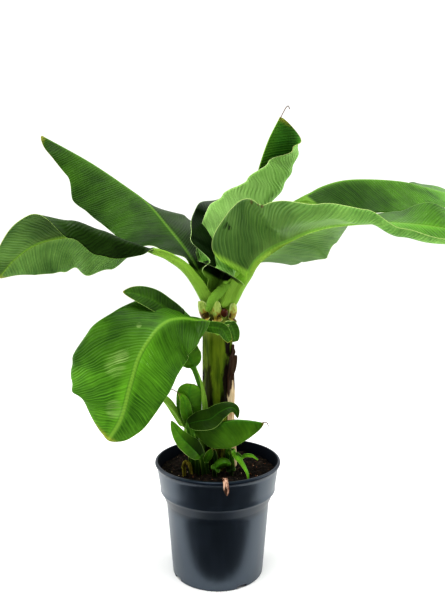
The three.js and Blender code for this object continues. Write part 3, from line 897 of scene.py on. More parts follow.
# Near-black green painted where small tears show the shade behind them.
SHADE_IN_TEARS = (0.004, 0.012, 0.002)
BROWN = (0.06, 0.035, 0.008)
UPPER = BladeFinish("leaf_upper", (0.013, 0.05, 0.0015), (0.042, 0.125, 0.005), (0.08, 0.22, 0.012),
                    (0.17, 0.35, 0.035), (0.075, 0.21, 0.015), (0.2, 0.38, 0.06), (0.17, 0.34, 0.035),
                    margin_mm=0.8, specular=0.12, vein_share=0.16, relief=0.4, scratches=0.5, rib_from=0.28,
                    scars_and_shade_patches=(((-0.153, -0.122, 0.385), 0.02, 0.3, SCRATCH),
                           ((-0.143, -0.121, 0.396), 0.014, 0.3, SCRATCH),
                           ((-0.153, -0.134, 0.321), 0.016, 0.3, SCRATCH),
                           ((-0.119, -0.099, 0.442), 0.005, 0.5, SCRATCH)))
UNDER = BladeFinish("leaf_underside", (0.055, 0.143, 0.026), (0.13, 0.273, 0.055), (0.21, 0.37, 0.075),
                    (0.3, 0.52, 0.06), (0.17, 0.37, 0.045), (0.5, 0.65, 0.22), (0.18, 0.36, 0.04),
                    roughness=0.5, margin_mm=1.0, specular=0.12, vein_share=0.28, relief=0.55,
                    # The first three spots are painted shade seen through small tears.
                    scars_and_shade_patches=(((0.0153, -0.0268, 0.594), 0.005, 1.0, SHADE_IN_TEARS),
                           ((0.02, -0.0287, 0.589), 0.0045, 1.0, SHADE_IN_TEARS),
                           ((0.0105, -0.0253, 0.5906), 0.004, 1.0, SHADE_IN_TEARS),
                           ((0.053, -0.082, 0.627), 0.006, 0.8, BROWN),
                           ((0.061, -0.101, 0.625), 0.005, 0.8, BROWN),
                           ((0.0665, -0.108, 0.6216), 0.004, 0.8, BROWN)))
YOUNG_UNDER = replace(UNDER, name="young_underside", deep=(0.22, 0.46, 0.09), fresh=(0.34, 0.62, 0.16),
                      vein=(0.42, 0.7, 0.22), margin=(0.62, 0.76, 0.36), takes_painted_light=False,
                      # This patch is painted shadow deep inside the rolled centre leaf.
                      scars_and_shade_patches=(((-0.034, 0.027, 0.548), 0.014, 0.97, (0.006, 0.02, 0.002)),))
YOUNG_UPPER = replace(UPPER, name="young_upper", deep=(0.014, 0.07, 0.006), fresh=(0.045, 0.18, 0.016))
SUCKER = replace(UPPER, name="sucker_upper", deep=(0.028, 0.083, 0.002), fresh=(0.095, 0.24, 0.008),
                 rib=(0.06, 0.2, 0.008), rib_edge=(0.045, 0.16, 0.005), vein=(0.04, 0.16, 0.01),
                 margin=(0.25, 0.42, 0.09), margin_mm=0.6, rib_from=0.5, vein_share=0.12, relief=0.2,
                 specular=0.1, stalk=(0.07, 0.17, 0.015), stalk_shade_at_soil=0.2, tip=(0.2, 0.1, 0.02))
SUCKER_UNDER = replace(UNDER, name="sucker_underside", stalk=(0.07, 0.17, 0.015), stalk_shade_at_soil=0.2,
                       margin_mm=0.6)


@dataclass(frozen=True)
class SheathFinish:
    """Look of the rolled sheaths of the stem: fibrous olive green with dark dead patches."""

    name: str = "sheath"
    base: Colour = (0.04, 0.075, 0.002)
    light: Colour = (0.13, 0.19, 0.01)
    amber: Colour = (0.17, 0.12, 0.008)
    dark: Colour = (0.008, 0.004, 0.002)
    head: Colour = (0.38, 0.47, 0.09)
    head_height: float = 0.43
    head_share: float = 0.9
    dead_share: float = 0.95
    foot_reach: tuple[float, float] = (0.2, 0.34)
    foot_dead: float = 0.13
    flank_reach: tuple[float, float] = (0.015, 0.026)
    flank_darkening: float = 0.1
    right_reach: tuple[float, float] = (0.006, 0.019)
    right_dead: float = 0.12
    rust: Colour = (0.12, 0.045, 0.008)
    rust_share: float = 0.85
    patch_break: float = -3.2
    patches: tuple[tuple[Place, Place, float], ...] = (
        ((-0.016, -0.02, 0.325), (0.008, 0.02, 0.04), 0.85),
        ((0.016, -0.018, 0.33), (0.007, 0.02, 0.055), 1.0),
        ((0.017, -0.02, 0.395), (0.005, 0.02, 0.02), 1.0),
        ((0.009, -0.024, 0.298), (0.006, 0.02, 0.02), 0.9),
        ((-0.012, -0.022, 0.437), (0.008, 0.02, 0.012), 0.8))

    def material(self) -> bpy.types.Material:
        """Builds the material on Object coordinates.

        Returns:
            The finished material.
        """
        bench = Bench(self.name)
        fibres = bench.grain(stretch=0.04, scale=420.0, detail=4.0, rough=0.6)
        streaks = bench.grain(stretch=0.12, scale=90.0, detail=5.0, rough=0.6)
        blotch = bench.grain(stretch=0.4, scale=55.0, detail=6.0, rough=0.65)
        rusty = bench.grain(stretch=0.5, scale=70.0, detail=5.0, rough=0.6)
        x, z = bench.axis("X"), bench.axis("Z")
        low = 1.0 - z.step(*self.foot_reach)
        head = z.step(self.head_height - 0.03, self.head_height + 0.015)
        collar = head * (1.0 - z.step(self.head_height + 0.005, self.head_height + 0.03))
        # The flanks take more of the dark patches.
        flank = bench.math("ABSOLUTE", x).step(*self.flank_reach) * self.flank_darkening
        right = x.step(*self.right_reach) * self.right_dead
        reach = blotch + (low * self.foot_dead + (flank + right))
        colour = bench.mix(streaks.step(0.36, 0.66), self.base, self.light)
        colour = colour.toward(self.amber, rusty.step(0.45, 0.7) * low)
        colour = colour.toward(self.head, head * self.head_share)
        colour = colour.toward(self.rust, rusty.step(0.46, 0.6) * collar * self.rust_share)
        colour = colour.toward(self.dark, reach.step(0.6, 0.7) * ((1.0 - head) * self.dead_share))
        for middle, size, share in self.patches:
            scale = tuple(1.0 / part for part in size)
            away = bench.away(bench.place(scale), tuple(a * b for a, b in zip(middle, scale)))
            near = away + (blotch - 0.5) * self.patch_break
            colour = colour.toward(self.dark, (1.0 - near.step(0.6, 1.15)) * share)
        colour = colour.toward(self.light, fibres.step(0.55, 0.8) * 0.2)
        bench.bump(fibres, strength=0.4, distance=0.0006)
        bench.bump(blotch, strength=0.3, distance=0.001)
        return bench.finish(colour, roughness=0.6, specular=0.06)


@dataclass(frozen=True)
class StubFinish:
    """Look of the cut ends of old sheaths: pale green with lighter margins, rusty at the foot."""

    name: str = "cut_sheath"
    deep: Colour = (0.2, 0.32, 0.045)
    pale: Colour = (0.5, 0.62, 0.16)
    margin: Colour = (0.52, 0.62, 0.25)
    amber: Colour = (0.32, 0.22, 0.03)
    rust: Colour = (0.04, 0.018, 0.005)
    rust_share: float = 0.9
    margin_share: float = 0.6
    foot_aging: float = 0.24

    def material(self) -> bpy.types.Material:
        """Builds the material from the stub's marks and Object coordinates.

        Returns:
            The finished material.
        """
        bench = Bench(self.name)
        fibres = bench.grain(stretch=0.15, scale=260.0, detail=4.0, rough=0.6)
        mottle = bench.grain(stretch=1.0, scale=85.0, detail=4.0, rough=0.6)
        tone = fibres * 0.5 + mottle * 0.5
        aged = mottle + (1.0 - bench.mark("share").step(0.1, 0.75)) * self.foot_aging
        edge = 1.0 - bench.mark("edge").step(0.08, 0.25)
        colour = bench.mix(tone.step(0.38, 0.62), self.deep, self.pale)
        colour = colour.toward(self.amber, aged.step(0.56, 0.68))
        colour = colour.toward(self.rust, aged.step(0.68, 0.76) * self.rust_share)
        colour = colour.toward(self.margin, edge * self.margin_share)
        bench.bump(fibres, strength=0.35, distance=0.0006)
        return bench.finish(colour, roughness=0.5, specular=0.2)


@dataclass(frozen=True)
class DryFinish:
    """Look of dried sheath and leaf: tan fibres going brown, dimmed by the piece's own mark."""

    name: str = "dried_sheath"
    pale: Colour = (0.66, 0.55, 0.36)
    tan: Colour = (0.34, 0.21, 0.1)
    dark: Colour = (0.02, 0.007, 0.004)
    dark_share: float = 0.95
    dimming: float = 0.45

    def material(self) -> bpy.types.Material:
        """Builds the material on Object coordinates.

        Returns:
            The finished material.
        """
        bench = Bench(self.name)
        fibres = bench.grain(stretch=0.06, scale=380.0, detail=5.0, rough=0.65)
        spread = bench.grain(stretch=0.35, scale=70.0, detail=5.0, rough=0.6)
        # Low values of the piece's mark turn it dark brown, as decay.
        spread = spread + (1.0 - bench.mark("dim")) * self.dimming
        colour = bench.mix(fibres.step(0.4, 0.6), self.tan, self.pale)
        colour = colour.toward(self.dark, spread.step(0.54, 0.64) * self.dark_share)
        bench.bump(fibres, strength=0.6, distance=0.001)
        return bench.finish(colour, roughness=0.8, specular=0.05)


@dataclass(frozen=True)
class PotFinish:
    """Look of the moulded plastic: blue-black and satin, with fine scuffs.

    The inner wall, the lip and the step under the band shine less than the rest; the inner wall is painted
    darker as shade, and the dull step stands in for the shade under the band.
    """

    name: str = "moulded_plastic"
    base: Colour = (0.0045, 0.0085, 0.015)
    worn: Colour = (0.009, 0.015, 0.026)
    sheen: Colour = (0.7, 0.84, 1.0)
    refraction: float = 1.6
    wall_reach: float = 0.0752
    band_slope: float = 0.141
    inner_from: tuple[float, float] = (0.155, 0.158)
    lip_from: tuple[float, float] = (0.1885, 0.1905)
    step_from: tuple[float, float] = (0.114, 0.128)
    step_until: tuple[float, float] = (0.142, 0.149)
    wall_blur: float = 0.0005
    inner_dull: float = 0.96
    inner_painted_shade: float = 0.7
    inner_rough: float = 0.4
    lip_dull: float = 0.75
    step_painted_shade: float = 0.6
    roughness: float = 0.24
    scuffed: float = 0.2

    def material(self) -> bpy.types.Material:
        """Builds the material on Object coordinates.

        Returns:
            The finished material.
        """
        bench = Bench(self.name)
        scuffs = bench.grain(stretch=0.25, scale=60.0, detail=6.0, rough=0.7)
        bench.bump(bench.grain(stretch=1.0, scale=900.0, detail=2.0), strength=0.12, distance=0.0003)
        height = bench.axis("Z")
        radius = bench.away(bench.place((1.0, 1.0, 0.0)), (0.0, 0.0, 0.0))
        spread = radius - height * self.band_slope
        inner = 1.0 - spread.step(self.wall_reach - self.wall_blur, self.wall_reach + self.wall_blur)
        inner = inner * height.step(*self.inner_from)
        lip = height.step(*self.lip_from) * self.lip_dull
        # The step under the band shines less, standing in for the shade under the band's edge.
        under_band = height.step(*self.step_from) * (1.0 - height.step(*self.step_until))
        dull = bench.math("MAXIMUM", inner * self.inner_dull, lip)
        dull = bench.math("MAXIMUM", dull, under_band * self.step_painted_shade)
        colour = bench.mix(scuffs.step(0.4, 0.72), self.base, self.worn)
        # Painted shade: the inner wall is darkened toward black.
        colour = colour.toward((0.0, 0.0, 0.0), inner * self.inner_painted_shade)
        bench.fill(bench.shader.inputs["IOR"], self.refraction)
        bench.fill(bench.shader.inputs["Specular Tint"], self.sheen)
        rough = scuffs * self.scuffed + self.roughness + inner * self.inner_rough
        return bench.finish(colour, rough, 1.0 - dull)


@dataclass(frozen=True)
class SoilFinish:
    """Look of dark potting soil with pale and rusty specks."""

    name: str = "potting_soil"
    base: Colour = (0.004, 0.0028, 0.0018)
    crumb: Colour = (0.03, 0.019, 0.012)
    speck: Colour = (0.34, 0.22, 0.14)
    speck_share: float = 0.7

    def material(self) -> bpy.types.Material:
        """Builds the material on Object coordinates.

        Returns:
            The finished material.
        """
        bench = Bench(self.name)
        lumps = bench.grain(stretch=1.0, scale=130.0, detail=6.0, rough=0.7)
        fine = bench.grain(stretch=1.0, scale=420.0, detail=4.0, rough=0.7)
        colour = bench.mix(lumps.step(0.42, 0.7), self.base, self.crumb)
        colour = colour.toward(self.speck, fine.step(0.68, 0.74) * self.speck_share)
        bench.bump(lumps, strength=0.9, distance=0.003)
        bench.bump(fine, strength=0.7, distance=0.001)
        return bench.finish(colour, roughness=0.95, specular=0.1)


@dataclass(frozen=True)
class PlainFinish:
    """One colour with a little mottle, for crumbs, buds and dried threads."""

    name: str
    colour: Colour
    roughness: float = 0.8
    lightening: float = 1.9

    def material(self) -> bpy.types.Material:
        """Builds the material on Object coordinates.

        Returns:
            The finished material.
        """
        bench = Bench(self.name)
        pale = tuple(min(1.0, part * self.lightening) for part in self.colour)
        mottle = bench.grain(stretch=1.0, scale=160.0, detail=3.0)
        colour = bench.mix(mottle.step(0.35, 0.7), self.colour, pale)
        return bench.finish(colour, self.roughness, specular=0.2)


@dataclass(frozen=True)
class Litter:
    """One kind of crumb on the soil: how thick it lies, how big it is and its shape."""

    name: str
    density: float
    size: float
    shape: Place
    seed: int
    finish: PlainFinish
    least: float = 0.35
    tumble: Place = (0.9, 0.9, 6.28)
    least: float = 0.35
    tumble: Place = (0.9, 0.9, 6.28)
    least: float = 0.35
    tumble: Place = (0.9, 0.9, 6.28)


class NodeTree:
    """Builds one geometry node tree with named inputs and applies it to an object."""

    def __init__(self, name: str) -> None:
        """Starts the tree with a geometry input and output.

        Args:
            name: The tree's name.
        """
        self.tree = bpy.data.node_groups.new(name, "GeometryNodeTree")
        for way in ("INPUT", "OUTPUT"):
            self.tree.interface.new_socket("Geometry", in_out=way, socket_type="NodeSocketGeometry")
        self.tree.is_modifier = True
        self.source = self.tree.nodes.new("NodeGroupInput")
        self.result = self.tree.nodes.new("NodeGroupOutput")

    def input(self, name: str, kind: str) -> bpy.types.NodeSocket:
        """Adds a named input of the given kind, such as Float or Material."""
        self.tree.interface.new_socket(name, in_out="INPUT", socket_type=f"NodeSocket{kind}")
        return self.source.outputs[name]

    def node(self, kind: str, links: dict[str | int, object], **settings: object) -> bpy.types.NodeSocket:
        """Adds a node, sets its options and fills its sockets.

        Args:
            kind: The node's type.
            links: Values or outputs by the socket's name or number.
            settings: The node's own options.

        Returns:
            The node's first output that is in use.
        """
        node = self.tree.nodes.new(kind)
        for name, value in settings.items():
            setattr(node, name, value)
        for name, value in links.items():
            named = (s for s in node.inputs if s.name == name and s.enabled)
            socket = node.inputs[name] if isinstance(name, int) else next(named)
            if isinstance(value, bpy.types.NodeSocket):
                self.tree.links.new(value, socket)
            else:
                socket.default_value = value
        return next(s for s in node.outputs if s.enabled)

    def close(self, geometry: bpy.types.NodeSocket, material: bpy.types.NodeSocket) -> None:
        """Realizes the instances, sets the material and ends the tree.

        Args:
            geometry: What the tree has made.
            material: The input that names its material.
        """
        whole = self.node("GeometryNodeRealizeInstances", {"Geometry": geometry})
        dressed = self.node("GeometryNodeSetMaterial", {"Geometry": whole, "Material": material})
        self.tree.links.new(dressed, self.result.inputs["Geometry"])

    def scatter(self, litter: Litter) -> None:
        """Strews small lumps over the faces of the object.

        Args:
            litter: The kind of crumb.
        """
        density, seed = self.input("Density", "Float"), self.input("Seed", "Int")
        size, material = self.input("Size", "Float"), self.input("Material", "Material")
        spots = self.node("GeometryNodeDistributePointsOnFaces",
                          {"Mesh": self.source.outputs["Geometry"], "Density": density, "Seed": seed})
        lump = self.node("GeometryNodeMeshIcoSphere", {"Radius": 0.5, "Subdivisions": 1})
        shaped = self.node("GeometryNodeTransform", {"Geometry": lump, "Scale": litter.shape})
        turn = self.node("FunctionNodeRandomValue", {"Min": (0.0, 0.0, 0.0), "Max": litter.tumble,
                                                     "Seed": seed}, data_type="FLOAT_VECTOR")
        grow = self.node("FunctionNodeRandomValue", {"Min": litter.least, "Max": 1.0, "Seed": seed},
                         data_type="FLOAT")
        scaled = self.node("ShaderNodeMath", {0: grow, 1: size}, operation="MULTIPLY")
        placed = self.node("GeometryNodeInstanceOnPoints",
                           {"Points": spots, "Instance": shaped, "Rotation": turn, "Scale": scaled})
        self.close(placed, material)

    def thread(self, tip_share: float, sides: int) -> None:
        """Runs a tapering round thread along the object's edges.

        Args:
            tip_share: Share of the thickness that is left at the tip.
            sides: Number of faces round.
        """
        thick, material = self.input("Thickness", "Float"), self.input("Material", "Material")
        curve = self.node("GeometryNodeMeshToCurve", {"Mesh": self.source.outputs["Geometry"]})
        smoothed = self.node("GeometryNodeCurveSplineType", {"Curve": curve}, spline_type="CATMULL_ROM")
        share = self.node("GeometryNodeSplineParameter", {})
        taper = self.node("ShaderNodeMapRange", {"Value": share, "From Min": 0.0, "From Max": 1.0,
                                                 "To Min": 1.0, "To Max": tip_share})
        sized = self.node("GeometryNodeSetCurveRadius", {"Curve": smoothed, "Radius": taper})
        ring = self.node("GeometryNodeCurvePrimitiveCircle", {"Resolution": sides, "Radius": thick})
        self.close(self.node("GeometryNodeCurveToMesh",
                             {"Curve": sized, "Profile Curve": ring, "Fill Caps": True}), material)

    def apply(self, piece: bpy.types.Object, values: dict[str, object]) -> None:
        """Runs the tree on an object and keeps the result as its mesh.

        Args:
            piece: The object that the tree works on.
            values: The inputs' values, by name.
        """
        modifier = piece.modifiers.new(self.tree.name, "NODES")
        modifier.node_group = self.tree
        for item in self.tree.interface.items_tree:
            if item.name in values:
                modifier[item.identifier] = values[item.name]
        piece.update_tag()
        keep_result(piece)


@dataclass
class NurseryPot:
    """The pot: a tapering body, a wider band under a rolled lip and notches round the foot."""

    rim_radius: float = 107.0
    rim_height: float = 196.0
    lip_depth: float = 6.0
    band_top_radius: float = 103.0
    band_foot_radius: float = 98.0
    band_foot_height: float = 146.0
    body_top_radius: float = 88.0
    body_top_height: float = 126.0
    foot_radius: float = 77.5
    foot_rounding: float = 2.0
    wall: float = 2.4
    floor: float = 3.0
    sides: int = 128
    drain_count: int = 4
    drain_width: float = 18.0
    drain_height: float = 7.0
    drain_depth: float = 9.0
    first_drain_turn: float = -59.0
    drain_reach: float = 3.0
    drain_rise: float = 4.6
    foot_steps: int = 6
    body_steps: int = 14
    band_steps: int = 6
    lip_steps: int = 12
    body_from: float = 8.0
    shelf: tuple[float, float] = (1.6, 2.5)
    band_edge: tuple[tuple[float, float], ...] = ((-4.0, -6.0), (-1.0, -1.6), (0.3, 0.0), (0.4, 2.0))
    band_above_edge: float = 4.0
    band_below_lip: float = 6.0
    lip_turns: tuple[float, float] = (-90.0, 110.0)
    lip_inner: tuple[float, float] = (0.8, 0.4)
    wall_below_lip: float = 1.4
    wall_bends: tuple[float, ...] = (182.0, 160.0, 140.0)
    wall_low: float = 60.0

    def outer(self, height: float) -> float:
        """Outside radius of the body at a height."""
        return lerp(self.foot_radius, self.body_top_radius, height / self.body_top_height)

    def inner(self, height: float) -> float:
        """Inside radius of the wall.

        Args:
            height: Height above the floor it stands on.

        Returns:
            The radius there.
        """
        if height <= self.body_top_height:
            return self.outer(height) - self.wall
        share = (height - self.body_top_height) / (self.rim_height - self.body_top_height)
        return lerp(self.body_top_radius, self.band_top_radius, math.sqrt(share)) - self.wall

    def profile(self) -> list[tuple[float, float]]:
        """The wall's outline, from the middle of the underside to the middle of the floor.

        Returns:
            Points as (radius, height).
        """
        foot = [(0.0, 0.0), (self.foot_radius - self.foot_rounding, 0.0)]
        rounding = self.foot_rounding
        foot += self.arc(self.foot_radius, rounding, rounding, np.linspace(-90, 0, self.foot_steps)[1:])
        rise = np.linspace(self.body_from, self.body_top_height, self.body_steps)
        body = [(self.outer(h), h) for h in rise]
        under = [(self.body_top_radius + self.shelf[0], self.body_top_height + self.shelf[1])]
        under += [(self.band_foot_radius + out, self.band_foot_height + up) for out, up in self.band_edge]
        lip_foot = self.rim_height - self.lip_depth
        low, high = self.band_foot_height + self.band_above_edge, lip_foot - self.band_below_lip
        band = [(lerp(self.band_foot_radius, self.band_top_radius, s), lerp(low, high, s))
                for s in np.linspace(0, 1, self.band_steps)]
        lip_radius = self.lip_depth / 2
        turns = np.linspace(*self.lip_turns, self.lip_steps)
        lip = self.arc(self.rim_radius, lip_foot + lip_radius, lip_radius, turns)
        out, down = self.lip_inner
        lip.append((self.band_top_radius - self.wall + out, self.rim_height - down))
        levels = (self.rim_height - self.wall_below_lip, *self.wall_bends, self.body_top_height,
                  self.wall_low, self.floor)
        inside = [(self.inner(h), h) for h in levels]
        return [*foot, *body, *under, *band, *lip, *inside, (0.0, self.floor)]

    def arc(self, reach: float, height: float, radius: float,
            turns: Sequence[float]) -> list[tuple[float, float]]:
        """Points round an edge that reaches so far out, at turns in degrees, 0 being outward."""
        bends = [math.radians(turn) for turn in turns]
        return [(reach - radius * (1 - math.cos(bend)), height + radius * math.sin(bend)) for bend in bends]

    def build(self) -> None:
        """Builds the pot, cuts its notches and dresses it."""
        pot = make_piece("nursery_pot", turned(self.profile(), self.sides), [PotFinish().material()])
        cutter = make_piece("notch_cutter", self.notches(), [])
        cut = pot.modifiers.new("notches", "BOOLEAN")
        cut.operation, cut.solver, cut.object = "DIFFERENCE", "EXACT", cutter
        keep_result(pot)
        bpy.data.objects.remove(cutter)
        settle(pot, Slot.POT, "pot")

    def notches(self) -> MeshData:
        """Boxes that cut the drain notches.

        Returns:
            All the boxes as one mesh.
        """
        places, faces = [], []
        quads = ((3, 2, 1, 0), (4, 5, 6, 7), (0, 1, 5, 4), (1, 2, 6, 5), (2, 3, 7, 6), (3, 0, 4, 7))
        for k in range(self.drain_count):
            turn = math.radians(self.first_drain_turn + 360.0 / self.drain_count * k)
            out = np.array([math.cos(turn), math.sin(turn), 0.0])
            side = np.array([-out[1], out[0], 0.0])
            faces += [[len(places) + corner for corner in quad] for quad in quads]
            for z in (self.drain_rise - 2 * self.drain_height, self.drain_rise):
                for reach, half in ((-1, -1), (1, -1), (1, 1), (-1, 1)):
                    spot = out * (self.foot_radius + self.drain_reach + self.drain_depth * reach)
                    spot = spot + side * half * self.drain_width / 2
                    places.append(spot + np.array([0, 0, z]))
        return MeshData(np.array(places), np.array(faces), np.zeros(len(faces), int))


@dataclass
class PottingSoil:
    """The soil's top, with crumbs, bark and pale grains strewn on it."""

    pot: NurseryPot
    height: float = 181.0
    edge_drop: float = 4.0
    flat_radius: float = 62.0
    wall_gap: float = 1.2
    deep_gap: float = 0.6
    foot_gap: float = 0.3
    bend_height: float = 160.0
    edge_depth: float = 2.0
    lumpy_depth: float = 1.5
    middle_radius: float = 2.0
    drop_bend: float = 1.5
    sides: int = 150
    rings: int = 46
    heap_place: tuple[float, float] = (18.0, 36.0)
    heap_spread: float = 34.0
    heap_height: float = 6.0
    bare_edge: float = 6.0
    bed_steps: int = 60
    lumps: tuple[tuple[float, int, float], ...] = ((30, 5, 1.4), (9, 6, 1.1), (4, 7, 0.5))
    litter: tuple[Litter, ...] = (
        Litter("dark_bark", 11000.0, 4.6, (1.0, 0.6, 0.4), 3, PlainFinish("bark", (0.006, 0.0035, 0.002))),
        Litter("brown_fibre", 5200.0, 5.5, (1.3, 0.32, 0.25), 8, PlainFinish("fibre", (0.14, 0.048, 0.02))),
        Litter("pale_grit", 1700.0, 2.6, (1.0, 0.8, 0.7), 5, PlainFinish("grit", (0.42, 0.3, 0.2))))

    def build(self) -> None:
        """Builds the soil and strews its crumbs."""
        inner = self.pot.inner
        edge = self.height - self.edge_drop
        rim = inner(edge) - self.wall_gap
        foot, waist, bend = self.pot.floor + self.foot_gap, self.pot.body_top_height, self.bend_height
        profile = [(0.0, foot), (inner(self.pot.floor) - self.deep_gap, foot),
                   (inner(waist) - self.deep_gap, waist), (inner(bend) - self.wall_gap, bend),
                   (rim, edge - self.edge_depth)]
        radii = np.linspace(rim, self.middle_radius, self.rings)
        profile += [(radius, self.level(radius)) for radius in radii]
        profile.append((0.0, self.height))
        mesh = turned(profile, self.sides)
        x, y, z = mesh.places.T
        mesh.places[:, 2] += np.where(z > edge - self.lumpy_depth, self.top(x, y), 0.0)
        soil = make_piece("potting_soil", mesh, [SoilFinish().material()])
        settle(soil, Slot.SOIL, "soil")
        for strewn in self.litter:
            self.strew(strewn)

    def strew(self, litter: Litter) -> None:
        """Strews one kind of crumb over the soil with a node tree.

        Args:
            litter: The kind of crumb.
        """
        side = self.pot.inner(self.height) - self.bare_edge
        steps = np.linspace(-side, side, self.bed_steps)
        x, y = np.meshgrid(steps, steps)
        radius = np.hypot(x, y)
        inside = radius < side
        height = np.vectorize(self.level)(radius) + self.top(x, y)
        whole = inside[:-1, :-1] & inside[1:, :-1] & inside[:-1, 1:] & inside[1:, 1:]
        quads = grid_quads(self.bed_steps, self.bed_steps)[whole]
        places = np.stack([x, y, height], axis=-1).reshape(-1, 3)
        bed = make_piece(litter.name, MeshData(places, quads, np.zeros(len(quads), int)), [])
        tree = NodeTree(f"{litter.name}_strewn")
        tree.scatter(litter)
        tree.apply(bed, {"Density": litter.density, "Seed": litter.seed, "Size": litter.size * MM,
                         "Material": litter.finish.material()})
        settle(bed, Slot.SOIL)

    def top(self, x: np.ndarray, y: np.ndarray) -> np.ndarray:
        """Height of the lumps and the heap over the soil's level.

        Args:
            x: Places to the right.
            y: Places to the back.

        Returns:
            The height at each place.
        """
        heap = np.exp(-((x + self.heap_place[0]) ** 2 + (y + self.heap_place[1]) ** 2) / self.heap_spread**2)
        lumps = sum(ripple_noise(x / size, y / size, seed) * high for size, seed, high in self.lumps)
        return lumps + heap * self.heap_height

    def level(self, radius: float) -> float:
        """Height of the soil without its lumps.

        Args:
            radius: Distance from the pot's axis.

        Returns:
            The height there.
        """
        edge = self.pot.inner(self.height) - self.wall_gap
        out = max(0.0, (radius - self.flat_radius) / (edge - self.flat_radius))
        return self.height - self.edge_drop * out**self.drop_bend


@dataclass
class Pseudostem:
    """The stem: a column of rolled leaf sheaths with a flared foot and a wider head."""

    foot: float = 181.3
    top: float = 456.0
    sunk: float = 4.0
    foot_radius: float = 28.0
    waist_radius: float = 23.5
    waist_height: float = 350.0
    head_radius: float = 26.0
    lean: float = -0.5
    rows: int = 150
    sides: int = 128
    fibre_count: int = 34
    fibre_depth: float = 0.22
    fibre_run: float = 140.0
    fibre_sway: float = 2.0
    fibre_seed: int = 4
    bulge_depth: float = 0.7
    bulge_run: float = 120.0
    bulge_turn: float = 1.2
    bulge_seed: int = 8
    flare: float = 2.2
    sheath_step: float = 0.05
    sheath_fall: float = 2.4
    sheath_edges: tuple[Place, ...] = (
        (-1.0, 0.006, 1.3), (0.9, -0.005, 1.1), (2.6, 0.004, 1.2), (-2.3, -0.003, 0.9))

    def radius(self, height: np.ndarray) -> np.ndarray:
        """The stem's radius, in millimetres.

        Args:
            height: Heights above the floor.

        Returns:
            The radius at each.
        """
        low = np.clip((height - self.foot) / (self.waist_height - self.foot), 0, 1)
        high = np.clip((height - self.waist_height) / (self.top - self.waist_height), 0, 1)
        return (self.waist_radius + (self.foot_radius - self.waist_radius) * (1 - low) ** self.flare
                + (self.head_radius - self.waist_radius) * high**2)

    def build(self) -> None:
        """Builds the column with the edges and fibres of its sheaths."""
        height = lerp(self.foot - self.sunk, self.top, np.linspace(0, 1, self.rows))
        turn = np.arange(self.sides) * math.tau / self.sides
        radius = np.repeat(self.radius(height)[:, None], self.sides, axis=1)
        h, a = np.meshgrid(height, turn, indexing="ij")
        for start, slope, depth in self.sheath_edges:
            past = np.mod(a - (start + slope * (h - self.waist_height)), math.tau)
            radius = radius + depth * (smooth(past / self.sheath_step) - smooth(past / self.sheath_fall))
        sway = self.fibre_sway * ripple_noise(h / self.fibre_run, a, self.fibre_seed)
        radius = radius + self.fibre_depth * np.sin(a * self.fibre_count + sway)
        bulges = ripple_noise(h / self.bulge_run, a / self.bulge_turn, self.bulge_seed)
        radius = radius + self.bulge_depth * bulges
        middle = self.lean * np.sin(np.clip((h - self.foot) / (self.top - self.foot), 0, 1) * math.pi)
        rings = np.stack([middle + radius * np.cos(a), radius * np.sin(a), h], axis=-1)
        stem = make_piece("sheathed_stem", tube(rings, height[0], height[-1]), [SheathFinish().material()])
        settle(stem, Slot.STEM, "pseudostem")


SMALL = LeafForm(
    name="small", stalk=(), rib=(), face_foot=(0, -1, 0), right=Half((10,)), left=Half((10,)),
    stalk_half=(4,), stalk_lift=(40,), stalk_curl=(0,), stalk_wall=2.4, rib_half=1.5, rib_depth=1.5,
    blade=1.1, rows=60, stalk_rows=20, columns=14, wave=0.8, pleat=0.0)
LOBE = replace(SMALL, ribbed=0.0, rib_depth=0.3, stalk_until=-1.0)
STRAP_HALF = Half((-15,), (-35,))
STRAP = replace(SMALL, right=STRAP_HALF, left=STRAP_HALF, ends=(0.8, 0.4), rows=40, stalk_rows=6, wave=1.0)
LEAF_LEFT = LeafForm(
    name="leaf_left",
    stalk=((-15, -6, 457), (-20, -8, 468), (-35, -15, 498), (-51, -20, 521), (-71, -25, 538)),
    rib=(
        (-98, -30, 552), (-170, -40, 570), (-230, -50, 577), (-280, -58, 566), (-316, -62, 542),
        (-342, -66, 512)),
    face_stalk=(1, 0.3, 0.5), face_foot=(-0.4, 0, 1), face_tip=(-0.9, -0.1, 0.6),
    stalk_half=(26, 14, 10, 9, 9), stalk_lift=(10, 55, 20), wide=80,
    right=Half((-15, -15, -38, -48, -36, -44, -55, -50, -30), (-5,), foot_rise=0.9),
    left=Half(
        (20, 26, 38, 45, 42, 38, 38), (-110, -125, -130, -125, -30, -15, -10),
        (0.35, 0.35, 0.4, 0.55, 0.8, 0.8, 0.8), 0.4, wide=72, foot_rise=1.4,
        dim=(0.3, 0.3, 0.35, 0.45, 0.9, 0.65)))
LEAF_BACK_LEFT = LeafForm(
    name="leaf_back_left", stalk=((-6, 11, 457), (-12, 14, 478)),
    rib=(
        (-29, 22, 508), (-55, 42, 551), (-90, 72, 594), (-125, 95, 633), (-160, 115, 659), (-236, 140, 709),
        (-329, 160, 760)),
    face_foot=(0.2, -0.9, 0.4), face_tip=(-0.1, -0.85, 0.5), stalk_half=(20, 13), wide=84,
    left=Half(
        (85, 45, 12, 0, -3, -5, -5, -5, -5), (-8,), outline=(1, 1, 1, 1, 1, 1, 1.02, 1.1, 0.76, 0.74, 0.9),
        dim=(0.25, 0.5, 0.75, 0.8, 0.85, 0.75)),
    right=Half((40, -20, -45, -85, -120, -120, -110), dim=(0.2, 0.3, 0.42, 0.7, 0.75)))
